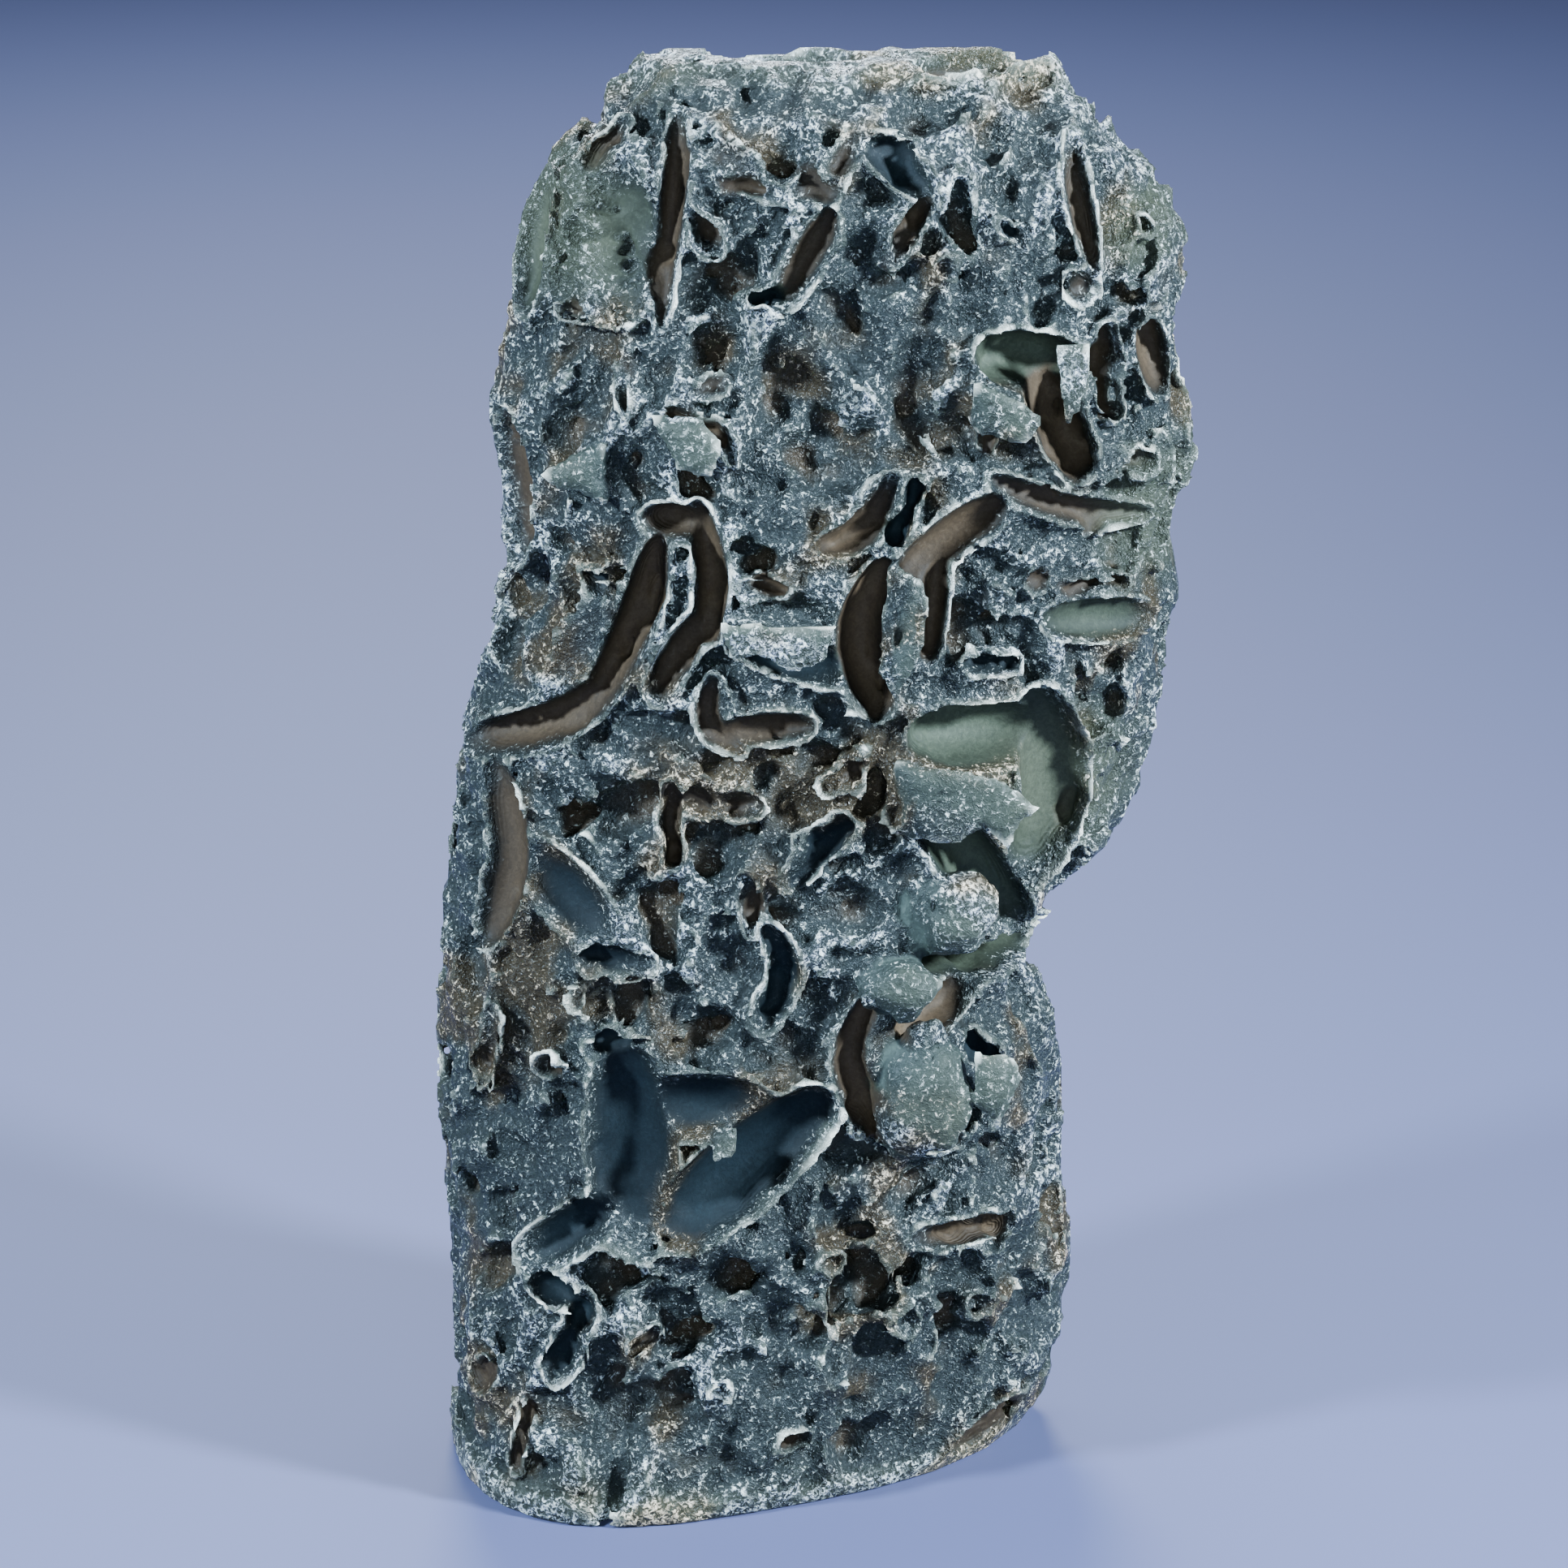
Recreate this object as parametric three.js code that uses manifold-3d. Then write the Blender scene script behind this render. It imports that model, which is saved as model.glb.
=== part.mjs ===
// A large moldavite: one piece of natural bottle-green glass, etched by the ground into deep,
// smooth hollows with thin sharp rims. It stands upright on its broken, flat base.
//
// Millimetres, +Z up, +Y away from the front. The origin is the middle of the base of the
// stone's bounding box. The stone is one solid: a tall body shaped by its edges at each
// height, with the large hollows cut out of it.

import * as THREE from 'three';
import { mergeVertices } from 'three/addons/utils/BufferGeometryUtils.js';
import Module from 'manifold-3d';

const wasm = await Module();
wasm.setup();

// Driving dimensions of the body.
const HEIGHT = 44.8;
const SHOULDER = 42.0;        // above this height the top rounds over into a ridge
const RIDGE_DEPTH = 0.45;     // front to back, what is left of the section at the very top
const RIDGE_WIDTH = 0.97;     // left to right, the same
const FOOT_INSET = 0.97;      // size of the section where it meets the ground
const FOOT_HEIGHT = 1.2;
const SWELL = 0.05;           // how far broad hollows sink into the skin, as a share of depth
const BODY_SIDES = 32;
const BODY_RINGS = 30;
const HOLLOW_SIDES = 8;
const HOLLOW_STEPS = 7;
const BLUNTNESS = 0.7;        // 1 is an ellipsoid with pointed-looking ends, 0 a tube

// The four edges of the body against height: [height, position].
const LEFT_EDGE = [
  [0, -11.9], [2, -11.7], [6, -11.5], [13, -12.0], [18, -11.6], [23.5, -11.1], [26, -10.3],
  [29, -9.7], [31.5, -9.5], [34, -10.0], [36.5, -9.4], [39.5, -9.1], [41, -8.5], [42.5, -7.6],
  [44, -6.2], [HEIGHT, -5.6],
];
const RIGHT_EDGE = [
  [0, 7.2], [2, 8.0], [5.5, 8.4], [9, 8.0], [13, 7.9], [15, 7.4], [16.5, 6.6], [18, 7.4],
  [21, 9.9], [24, 10.7], [28.5, 11.2], [30.5, 10.7], [32.6, 12.0], [34.5, 11.5], [36, 10.8],
  [38.5, 11.2], [40.5, 11.1], [41.5, 10.2], [42.5, 8.9], [44, 8.2], [HEIGHT, 7.2],
];
const FRONT_EDGE = [[0, -6.2], [3, -6.3], [12, -5.8], [22, -5.2], [35, -4.7], [HEIGHT, -3.9]];
const BACK_EDGE = [[0, 5.2], [10, 6.0], [22, 6.3], [35, 5.3], [HEIGHT, 3.4]];

// How far back the left and right tips of a section lie.
const LEFT_TIP = [[0, 1.9], [10, 1.5], [HEIGHT, 1.2]];
const RIGHT_TIP = [[0, 3.6], [8, 3.0], [16, 2.0], [HEIGHT, 1.3]];

// The front is widest off centre: -1 would be at the left tip, 1 at the right tip.
const FRONT_PEAK = [[0, -0.4], [8, -0.25], [16, -0.1], [HEIGHT, 0.05]];
const BACK_PEAK = [[0, 0.2], [20, -0.15], [HEIGHT, 0.1]];

// A section is a superellipse: 2 is an ellipse, larger is squarer.
const SQUARENESS = [[0, 2.1], [14, 2.5], [HEIGHT, 2.6]];

const FROM_FRONT = new THREE.Vector3(0, 1, 0);
const FROM_BACK = new THREE.Vector3(0, -1, 0);
const FROM_LEFT = new THREE.Vector3(1, 0, 0);
const FROM_RIGHT = new THREE.Vector3(-1, 0, 0);
const FROM_ABOVE = new THREE.Vector3(0, 0, -1);

const glass = new THREE.MeshStandardMaterial({
  name: 'moldavite_glass',
  color: 0x47534a,
  roughness: 0.3,
  metalness: 0,
});

// Straight-line reading of a [height, value] table.
function along(table, height) {
  const last = table.findIndex(([h]) => h >= height);
  if (last <= 0) return last === 0 ? table[0][1] : table[table.length - 1][1];
  const [h0, v0] = table[last - 1];
  const [h1, v1] = table[last];
  return THREE.MathUtils.mapLinear(height, h0, h1, v0, v1);
}

// Broad shallow waves that keep the faces from being plain barrels: 0 to 1.
function swellAt(share, height) {
  const wave = Math.sin(height * 0.42 + share * 4) + Math.sin(height * 0.71 - share * 6 + 2);
  return (2 + wave) / 4;
}

// A point of the body's skin. angle runs round the section; reachX and reachY are 1 on the
// skin and 0 at the section's middle.
function skinPoint(angle, height, reachX, reachY) {
  const power = 2 / along(SQUARENESS, height);
  const across = Math.sign(Math.cos(angle)) * Math.abs(Math.cos(angle)) ** power;
  const outward = Math.abs(Math.sin(angle)) ** power;
  const facesFront = Math.sin(angle) < 0;
  const peak = along(facesFront ? FRONT_PEAK : BACK_PEAK, height);
  const share = (across + peak) / (1 + across * peak);
  const left = along(LEFT_EDGE, height);
  const right = along(RIGHT_EDGE, height);
  const x = THREE.MathUtils.mapLinear(share * reachX, -1, 1, left, right);
  const middle = THREE.MathUtils.mapLinear(
    share, -1, 1, along(LEFT_TIP, height), along(RIGHT_TIP, height));
  const limit = along(facesFront ? FRONT_EDGE : BACK_EDGE, height);
  const sunk = 1 - SWELL * swellAt(share, height);
  const y = middle + (limit - middle) * outward * sunk * reachY;
  return new THREE.Vector3(x, y, height);
}

// How much of the full section is left at a height: it pulls in at the foot and the top.
function insetAt(height, topmost) {
  if (height < FOOT_HEIGHT) return THREE.MathUtils.lerp(FOOT_INSET, 1, height / FOOT_HEIGHT);
  if (height < SHOULDER) return 1;
  const rise = (height - SHOULDER) / (HEIGHT - SHOULDER);
  return THREE.MathUtils.lerp(1, topmost, rise * rise);
}

// The body starts as a cylinder, whose rings are then moved onto the skin.
function bodyGeometry() {
  const geometry = new THREE.CylinderGeometry(1, 1, 1, BODY_SIDES, BODY_RINGS);
  const position = geometry.attributes.position;
  for (let i = 0; i < position.count; i += 1) {
    const height = (position.getY(i) + 0.5) * HEIGHT;
    const spread = Math.hypot(position.getX(i), position.getZ(i));
    const angle = Math.atan2(-position.getZ(i), position.getX(i));
    const reachX = spread * insetAt(height, RIDGE_WIDTH);
    const reachY = spread * insetAt(height, RIDGE_DEPTH);
    const point = skinPoint(angle, height, reachX, reachY);
    position.setXYZ(i, point.x, point.y, point.z);
  }
  return geometry;
}

// A hollow is a blunt spindle bent along its path: a sphere whose poles are the path's two
// ends, made fuller by BLUNTNESS. width is across the path, depth is how far it reaches to
// either side of the path, along the direction that it was etched from.
function hollowGeometry({ path, width, depth, from = FROM_FRONT }) {
  const curve = new THREE.CatmullRomCurve3(path.map((p) => new THREE.Vector3(...p)));
  const geometry = new THREE.SphereGeometry(1, HOLLOW_SIDES, HOLLOW_STEPS);
  const position = geometry.attributes.position;
  for (let i = 0; i < position.count; i += 1) {
    const share = THREE.MathUtils.clamp((1 + position.getY(i)) / 2, 0, 1);
    const tangent = curve.getTangentAt(share);
    const side = tangent.clone().cross(from).normalize();
    const inward = side.clone().cross(tangent);
    const girth = Math.hypot(position.getX(i), position.getZ(i));
    const fuller = girth > 0 ? girth ** (BLUNTNESS - 1) : 0;
    const point = curve.getPointAt(share)
      .addScaledVector(side, position.getX(i) * fuller * width / 2)
      .addScaledVector(inward, position.getZ(i) * fuller * depth);
    position.setXYZ(i, point.x, point.y, point.z);
  }
  return geometry;
}

function toSolid(geometry) {
  geometry.deleteAttribute('normal');
  geometry.deleteAttribute('uv');
  const merged = mergeVertices(geometry, 1e-4);
  return new wasm.Manifold(new wasm.Mesh({
    numProp: 3,
    vertProperties: new Float32Array(merged.attributes.position.array),
    triVerts: new Uint32Array(merged.index.array),
  }));
}

function toGeometry(solid) {
  const mesh = solid.getMesh();
  const geometry = new THREE.BufferGeometry();
  geometry.setAttribute('position', new THREE.BufferAttribute(mesh.vertProperties, 3));
  geometry.setIndex(new THREE.BufferAttribute(mesh.triVerts, 1));
  geometry.computeVertexNormals();
  return geometry;
}

// Every large hollow. Paths run from end to end of the hollow, on the body's skin.
const hollows = [
  // Upper front.
  {
    path: [[-4.2, -2.4, 45.2], [-4.1, -3.4, 42.8], [-4.3, -3.6, 40.4], [-4.6, -4.0, 37.4]],
    width: 0.7, depth: 1.2,
  },
  { path: [[-6.3, -2.6, 42.0], [-6.1, -3.5, 38.0]], width: 3.0, depth: 0.6 },
  { path: [[-8.4, -0.6, 42.4], [-8.9, -1.0, 37.6]], width: 2.2, depth: 0.7, from: FROM_LEFT },
  { path: [[-4.3, -3.4, 43.5], [-1.4, -4.1, 42.0]], width: 1.3, depth: 0.7 },
  { path: [[0.4, -4.0, 42.0], [2.1, -4.0, 44.6]], width: 0.8, depth: 0.9 },
  { path: [[-1.2, -4.5, 38.1], [0.5, -4.3, 41.1]], width: 1.0, depth: 1.0 },
  { path: [[7.9, -2.4, 45.0], [7.6, -3.0, 42.0], [8.2, -3.2, 39.0]], width: 0.7, depth: 1.1 },

  // The cave near the right edge and the grooves under it.
  { path: [[5.0, -4.4, 36.8], [8.1, -3.7, 36.1]], width: 1.7, depth: 1.9 },
  { path: [[6.4, -4.1, 36.6], [7.9, -3.8, 32.9]], width: 1.4, depth: 2.0 },
  { path: [[9.8, -1.8, 37.2], [10.4, -1.6, 35.0]], width: 0.9, depth: 1.4 },
  { path: [[5.0, -4.6, 33.2], [7.3, -4.2, 32.1], [10.6, -2.2, 31.3]], width: 0.8, depth: 1.0 },

  // The Y-shaped trench, the bean and the trench that holds the standing leaf.
  { path: [[0.1, -4.8, 31.1], [1.4, -4.8, 31.6], [2.4, -4.8, 33.5]], width: 0.95, depth: 1.0 },
  { path: [[5.6, -4.5, 32.5], [2.4, -4.9, 30.1]], width: 1.3, depth: 1.2 },
  { path: [[3.7, -4.7, 31.2], [3.3, -4.9, 27.5]], width: 0.8, depth: 1.3 },
  { path: [[2.2, -4.8, 30.8], [1.3, -5.0, 28.3], [2.0, -5.0, 25.8]], width: 1.4, depth: 1.8 },
  { path: [[-2.6, -4.9, 28.4], [1.3, -5.1, 27.2]], width: 1.3, depth: 1.1 },

  // The long double trench on the left, with the two pits beside it.
  { path: [[-5.1, -4.3, 31.8], [-3.5, -4.7, 31.7]], width: 1.1, depth: 1.3 },
  { path: [[-3.6, -4.6, 32.6], [-3.1, -4.8, 30.1], [-3.4, -4.9, 28.0]], width: 0.9, depth: 1.5 },
  { path: [[-3.2, -4.8, 29.2], [-5.0, -4.8, 26.3]], width: 1.0, depth: 1.2 },
  { path: [[-4.6, -4.4, 31.4], [-5.4, -4.4, 28.6], [-7.0, -4.2, 25.4]], width: 1.1, depth: 1.8 },
  { path: [[-5.5, -4.6, 27.4], [-7.8, -3.8, 25.4], [-11.9, -0.8, 23.6]], width: 1.1, depth: 1.4 },
  { path: [[-5.8, -4.2, 30.2], [-8.6, -3.2, 26.0]], width: 1.9, depth: 0.6 },
  { path: [[-3.0, -5.0, 27.3], [-3.2, -5.1, 25.7], [-2.0, -5.2, 24.7]], width: 0.8, depth: 1.0 },
  { path: [[-3.2, -5.1, 25.3], [0.0, -5.2, 25.7]], width: 1.0, depth: 1.0 },
  { path: [[-9.6, -1.2, 34.0], [-9.4, -1.4, 30.0]], width: 2.6, depth: 1.0, from: FROM_LEFT },

  // The bay on the right: two smooth bowls that run down into the notch.
  { path: [[3.0, -4.9, 25.3], [7.4, -3.9, 25.1]], width: 1.9, depth: 1.7 },
  { path: [[6.5, -4.1, 26.4], [7.4, -3.5, 23.2], [6.3, -3.6, 19.8]], width: 2.3, depth: 1.4 },
  { path: [[3.0, -4.9, 23.4], [4.9, -4.4, 20.9], [6.6, -2.4, 18.0]], width: 1.7, depth: 1.5 },
  { path: [[6.7, -4.1, 28.7], [10.8, -1.6, 28.1]], width: 1.2, depth: 0.6 },
  { path: [[3.0, -4.3, 17.9], [8.2, 0.6, 17.1]], width: 1.3, depth: 2.5 },

  // The middle and the left flank.
  { path: [[-9.9, -2.4, 24.0], [-9.5, -3.3, 21.0], [-10.3, -2.9, 18.0]], width: 1.5, depth: 0.9 },
  { path: [[-9.0, -3.8, 21.4], [-6.4, -5.0, 19.2]], width: 1.9, depth: 0.7 },
  { path: [[-1.6, -5.4, 19.6], [-0.9, -5.5, 17.8], [-1.7, -5.6, 15.9]], width: 0.9, depth: 1.2 },

  // The three smooth bowls low on the front, and the pits to their left.
  { path: [[-5.8, -5.4, 15.4], [-5.5, -6.0, 9.0]], width: 2.8, depth: 1.4 },
  { path: [[-5.8, -5.6, 13.8], [-1.4, -5.7, 13.8]], width: 2.0, depth: 1.0 },
  { path: [[-4.8, -6.0, 9.4], [0.5, -5.6, 14.0]], width: 2.6, depth: 1.7 },
  { path: [[-9.4, -4.8, 8.2], [-5.9, -6.0, 10.7]], width: 1.5, depth: 1.2 },
  { path: [[-8.9, -5.1, 7.9], [-7.6, -5.6, 7.4]], width: 0.9, depth: 1.1 },

  // The lower right: a crescent trench round a dome, and a chip off the foot.
  { path: [[2.7, -4.6, 15.8], [5.1, -3.1, 17.0]], width: 1.2, depth: 1.2 },
  {
    path: [[1.7, -4.9, 17.2], [1.0, -5.3, 15.0], [2.2, -5.0, 12.9], [4.9, -3.6, 11.8]],
    width: 1.0, depth: 1.1,
  },
  { path: [[4.6, -2.4, 0.6], [9.2, 0.4, 2.0]], width: 1.8, depth: 1.1 },

  // The right flank.
  { path: [[11.4, 2.0, 36.0], [11.3, 0.6, 29.0]], width: 2.6, depth: 0.8, from: FROM_RIGHT },
  { path: [[8.6, 4.0, 13.6], [8.7, 1.6, 6.0]], width: 3.0, depth: 0.9, from: FROM_RIGHT },
  { path: [[9.6, 3.4, 24.4], [8.4, 3.0, 19.2]], width: 2.4, depth: 1.0, from: FROM_RIGHT },

  // The left flank.
  { path: [[-12.0, 2.6, 15.6], [-12.2, 0.6, 9.4]], width: 2.8, depth: 1.0, from: FROM_LEFT },
  { path: [[-11.6, 3.2, 22.6], [-11.9, 2.2, 17.2]], width: 2.2, depth: 0.9, from: FROM_LEFT },
  { path: [[-11.8, 1.4, 6.8], [-11.9, 3.0, 2.4]], width: 2.0, depth: 0.7, from: FROM_LEFT },

  // The back.
  { path: [[-8.0, 3.8, 38.6], [-4.4, 5.0, 41.6]], width: 2.4, depth: 1.1, from: FROM_BACK },
  { path: [[-6.4, 5.2, 36.0], [-2.4, 5.5, 31.6]], width: 2.8, depth: 1.5, from: FROM_BACK },
  { path: [[1.6, 4.6, 42.6], [3.0, 5.4, 37.4]], width: 1.8, depth: 1.3, from: FROM_BACK },
  { path: [[5.0, 4.8, 38.8], [8.6, 3.8, 35.4]], width: 2.6, depth: 1.4, from: FROM_BACK },
  { path: [[1.4, 6.0, 33.6], [6.8, 5.0, 31.0]], width: 2.0, depth: 1.3, from: FROM_BACK },
  {
    path: [[-9.6, 4.2, 28.6], [-6.2, 5.8, 25.6], [-5.6, 6.2, 22.6]],
    width: 2.0, depth: 1.4, from: FROM_BACK,
  },
  { path: [[-2.4, 6.2, 28.4], [3.2, 6.2, 26.4]], width: 3.2, depth: 1.5, from: FROM_BACK },
  { path: [[6.4, 5.2, 28.0], [8.6, 4.2, 23.6]], width: 2.2, depth: 1.1, from: FROM_BACK },
  { path: [[-1.6, 6.4, 23.0], [0.4, 6.2, 17.6]], width: 1.8, depth: 1.4, from: FROM_BACK },
  { path: [[-9.6, 4.4, 17.8], [-5.0, 6.0, 16.6]], width: 2.6, depth: 1.3, from: FROM_BACK },
  { path: [[2.4, 5.8, 16.6], [6.2, 4.8, 12.4]], width: 3.0, depth: 1.4, from: FROM_BACK },
  { path: [[-6.8, 5.4, 13.4], [-4.0, 5.8, 7.4]], width: 2.4, depth: 1.5, from: FROM_BACK },
  { path: [[-1.6, 5.6, 6.4], [3.6, 5.6, 4.2]], width: 2.4, depth: 1.1, from: FROM_BACK },

  // The top.
  { path: [[-3.0, 1.6, 44.7], [1.2, 0.6, 45.0]], width: 2.2, depth: 0.8, from: FROM_ABOVE },
  { path: [[3.2, -0.6, 44.6], [6.6, 1.6, 44.4]], width: 2.0, depth: 0.9, from: FROM_ABOVE },
];

const solid = hollows.reduce(
  (stone, hollow) => stone.subtract(toSolid(hollowGeometry(hollow))), toSolid(bodyGeometry()));

const moldavite = new THREE.Mesh(toGeometry(solid), glass);
moldavite.name = 'moldavite';

const part = new THREE.Group();
part.add(moldavite);

export default part;
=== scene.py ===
# %% [markdown]
# # A moldavite, standing on its broken end
#
# A moldavite is natural glass: rock melted by a meteorite, thrown through the air and then
# etched in the ground for millions of years. Acids ate smooth hollows of every size into
# it, and where two hollows meet a thin sharp rim is left standing. That is the whole look
# of the stone, so this lesson makes it the way the ground did: by taking glass away.
#
# The frame brings the stone's body with its large hollows as a coarse solid. Everything
# here is in metres, in that solid's own place.

# %% Load the frame
import math

import bpy
import numpy as np
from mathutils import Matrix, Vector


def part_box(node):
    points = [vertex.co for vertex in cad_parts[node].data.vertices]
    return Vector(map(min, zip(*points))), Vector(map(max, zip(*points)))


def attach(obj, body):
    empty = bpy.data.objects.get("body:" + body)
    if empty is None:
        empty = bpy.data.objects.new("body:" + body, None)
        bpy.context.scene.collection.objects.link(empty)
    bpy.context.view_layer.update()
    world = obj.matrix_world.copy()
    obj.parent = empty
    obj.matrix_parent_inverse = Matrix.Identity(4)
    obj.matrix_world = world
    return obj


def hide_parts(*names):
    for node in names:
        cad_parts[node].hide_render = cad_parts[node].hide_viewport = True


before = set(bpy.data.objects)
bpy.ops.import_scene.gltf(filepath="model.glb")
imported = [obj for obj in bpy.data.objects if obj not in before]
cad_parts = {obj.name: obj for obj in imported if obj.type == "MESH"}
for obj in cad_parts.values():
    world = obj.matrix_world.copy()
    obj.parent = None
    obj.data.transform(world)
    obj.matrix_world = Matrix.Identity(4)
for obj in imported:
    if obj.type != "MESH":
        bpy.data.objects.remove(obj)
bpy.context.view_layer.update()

import openvdb
from mathutils import Vector
from mathutils.bvhtree import BVHTree

MM = 0.001
STONE = "moldavite"
low, high = (np.array(corner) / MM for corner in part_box(STONE))
print("the stone measures", np.round(high - low, 1), "mm")

# %% [markdown]
# ## The camera, the floor and the light
#
# A small stone is best seen through a long lens from a little above. The floor is flat and
# plain. Two soft lamps stand high on both sides of the camera, so that the rims catch light
# from both and the hollows stay dark. A lamp behind shows the back and the far floor.

# %% Camera
CAMERA_RISE = math.radians(18)
CAMERA_DISTANCE = 170 * MM
CAMERA_AIM = Vector((-0.95, 0.4, 22.2)) * MM
VIEW_WIDTH = 48.3 * MM
SENSOR = 36.0


def camera_at(aim, distance, rise):
    data = bpy.data.cameras.new("camera")
    data.sensor_width = SENSOR
    data.lens = SENSOR * distance / VIEW_WIDTH
    camera = bpy.data.objects.new("camera", data)
    bpy.context.scene.collection.objects.link(camera)
    back = Vector((0, -math.cos(rise), math.sin(rise)))
    camera.location = aim + back * distance
    camera.rotation_euler = back.to_track_quat("Z", "Y").to_euler()
    return camera


bpy.context.scene.camera = camera_at(CAMERA_AIM, CAMERA_DISTANCE, CAMERA_RISE)

# %% Floor
FLOOR_HALF = 0.8
FLOOR_COLOUR = (0.034, 0.045, 0.115, 1)


def flat_floor():
    corners = [(x, y, 0) for x, y in ((-1, -1), (1, -1), (1, 1), (-1, 1))]
    mesh = bpy.data.meshes.new("floor")
    mesh.from_pydata([Vector(corner) * FLOOR_HALF for corner in corners], [], [(0, 1, 2, 3)])
    floor = bpy.data.objects.new("floor", mesh)
    bpy.context.scene.collection.objects.link(floor)
    return floor


floor = flat_floor()
paper = bpy.data.materials.new("paper")
paper.use_nodes = True
paper_skin = paper.node_tree.nodes["Principled BSDF"]
paper_skin.inputs["Base Color"].default_value = FLOOR_COLOUR
paper_skin.inputs["Roughness"].default_value = 0.7
floor.data.materials.append(paper)

# %% Lamps
LAMPS = {
    "left lamp": dict(at=(-105, -62, 88), size=18, power=1.05, colour=(0.80, 0.90, 1.0)),
    "right lamp": dict(at=(108, -58, 84), size=18, power=1.60, colour=(0.86, 0.93, 1.0)),
    "front lamp": dict(at=(10, -170, 60), size=60, power=0.22, colour=(0.85, 0.92, 1.0)),
    "top lamp": dict(at=(0, 30, 150), size=50, power=0.16, colour=(0.85, 0.92, 1.0)),
    "back lamp": dict(at=(-30, 240, 170), size=90, power=1.2, colour=(0.85, 0.92, 1.0)),
}


def lamp(name, at, size, power, colour):
    data = bpy.data.lights.new(name, "AREA")
    data.shape = "DISK"
    data.size = size * MM
    data.energy = power
    data.color = colour
    light = bpy.data.objects.new(name, data)
    bpy.context.scene.collection.objects.link(light)
    light.location = Vector(at) * MM
    light.rotation_euler = (light.location - CAMERA_AIM).to_track_quat("Z", "Y").to_euler()


for name, settings in LAMPS.items():
    lamp(name, **settings)

world = bpy.data.worlds.new("sky")
world.use_nodes = True
world.node_tree.nodes["Background"].inputs["Color"].default_value = (0.42, 0.47, 0.72, 1)
world.node_tree.nodes["Background"].inputs["Strength"].default_value = 0.05
bpy.context.scene.world = world

# %% [markdown]
# ## Glass as a block of numbers
#
# Thousands of hollows are too many for mesh booleans. Instead the stone becomes a block of
# small cells, each holding its distance to the surface: less than zero in the glass, more
# in the air. Cutting a hollow is then one line of arithmetic, and OpenVDB turns the block
# back into a mesh at the end. The cells set the finest rim that can be made.

# %% The stone as distances
CELL = 0.13
MARGIN = 4
BAND = 6


def mesh_arrays(obj):
    mesh = obj.data
    points = np.empty(len(mesh.vertices) * 3, np.float32)
    mesh.vertices.foreach_get("co", points)
    mesh.calc_loop_triangles()
    triangles = np.empty(len(mesh.loop_triangles) * 3, np.int32)
    mesh.loop_triangles.foreach_get("vertices", triangles)
    return points.reshape(-1, 3) / MM, triangles.reshape(-1, 3)


points, triangles = mesh_arrays(bpy.data.objects[STONE])
origin = low - MARGIN * CELL
counts = np.ceil((high - low) / CELL).astype(int) + 2 * MARGIN + 1
in_cells = (points - origin) / CELL
coarse = openvdb.FloatGrid.createLevelSetFromPolygons(
    in_cells, triangles=triangles, transform=openvdb.createLinearTransform(1.0),
    halfWidth=BAND)
field = np.full(counts, float(BAND), np.float32)
coarse.copyToArray(field)
field *= CELL
axes_mm = [origin[i] + CELL * np.arange(counts[i], dtype=np.float32) for i in range(3)]
print("cells:", counts, "glass share:", round(float((field < 0).mean()), 3))

# %% [markdown]
# ## Uneven space
#
# A knife leaves clean arcs, but the ground doesn't. Before any hollow is cut, the places
# of the cells are shifted by soft noise, so every cut made in them comes out slightly
# bent. The noise is a coarse grid of random numbers, blurred a little so that it has no
# direction of its own, and then spread smoothly over the cells.

# %% Soft noise on the block
rng = np.random.default_rng(1906)


def stretched(values, axis, count):
    """Spreads a few knots smoothly over many cells along one axis."""
    at = np.linspace(0, values.shape[axis] - 1.001, count)
    base = at.astype(int)
    part = (at - base).astype(np.float32)
    part = part * part * (3 - 2 * part)
    part = part.reshape([-1 if i == axis else 1 for i in range(3)])
    first = np.take(values, base, axis)
    return first + (np.take(values, base + 1, axis) - first) * part


def blurred(values, passes):
    """Spreads the cells into their neighbours a number of times."""
    for _ in range(passes):
        for axis in range(3):
            values = np.moveaxis(values, axis, 0)
            middle = values.copy()
            middle[1:-1] = 0.5 * values[1:-1] + 0.25 * (values[:-2] + values[2:])
            values = np.moveaxis(middle, 0, axis)
    return values


KNOTS_PER_GRAIN = 3
NOISE_SPREAD = 0.33


def soft_noise(grain):
    """Noise mostly from -1 to 1 over the block, whose lumps are about grain mm apart."""
    knots = [int(n * CELL / grain * KNOTS_PER_GRAIN) + 6 for n in counts]
    value = blurred(rng.standard_normal(knots, dtype=np.float32), 2)
    value *= NOISE_SPREAD / value.std()
    for axis in range(3):
        value = stretched(value, axis, counts[axis])
    return value


def trilinear(values, at, cell=CELL):
    """Reads a block of cells at places in mm."""
    cell_points = (np.asarray(at) - origin) / cell
    base = np.clip(np.floor(cell_points).astype(int), 0, np.array(values.shape) - 2)
    part = cell_points - base
    total = 0
    for corner in np.ndindex(2, 2, 2):
        weight = np.prod(np.where(corner, part, 1 - part), axis=1)
        i, j, k = (base + corner).T
        total = total + weight * values[i, j, k]
    return total


BENDS = ((3.0, 0.30), (1.2, 0.18), (0.5, 0.08))
place = [axes_mm[i].reshape([-1 if i == k else 1 for k in range(3)]) for i in range(3)]
bent = [place[i] + sum(size * soft_noise(grain) for grain, size in BENDS) for i in range(3)]


def bend(at):
    """Where places in mm are in the bent space."""
    return np.stack([trilinear(part, at) for part in bent], -1).astype(np.float32)


# %% [markdown]
# ## One hollow
#
# Every hollow is a blunt spindle along a path, the same form that the solid's large
# hollows have. Only the cells near it are touched. The spindle's width and depth differ,
# so the distance to it is worked out in a space that is squeezed to make it round.

# %% Cutting a spindle
BLUNTNESS = 0.7
PATH_STEPS = 10
REACH_OVER = 1.0


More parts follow.
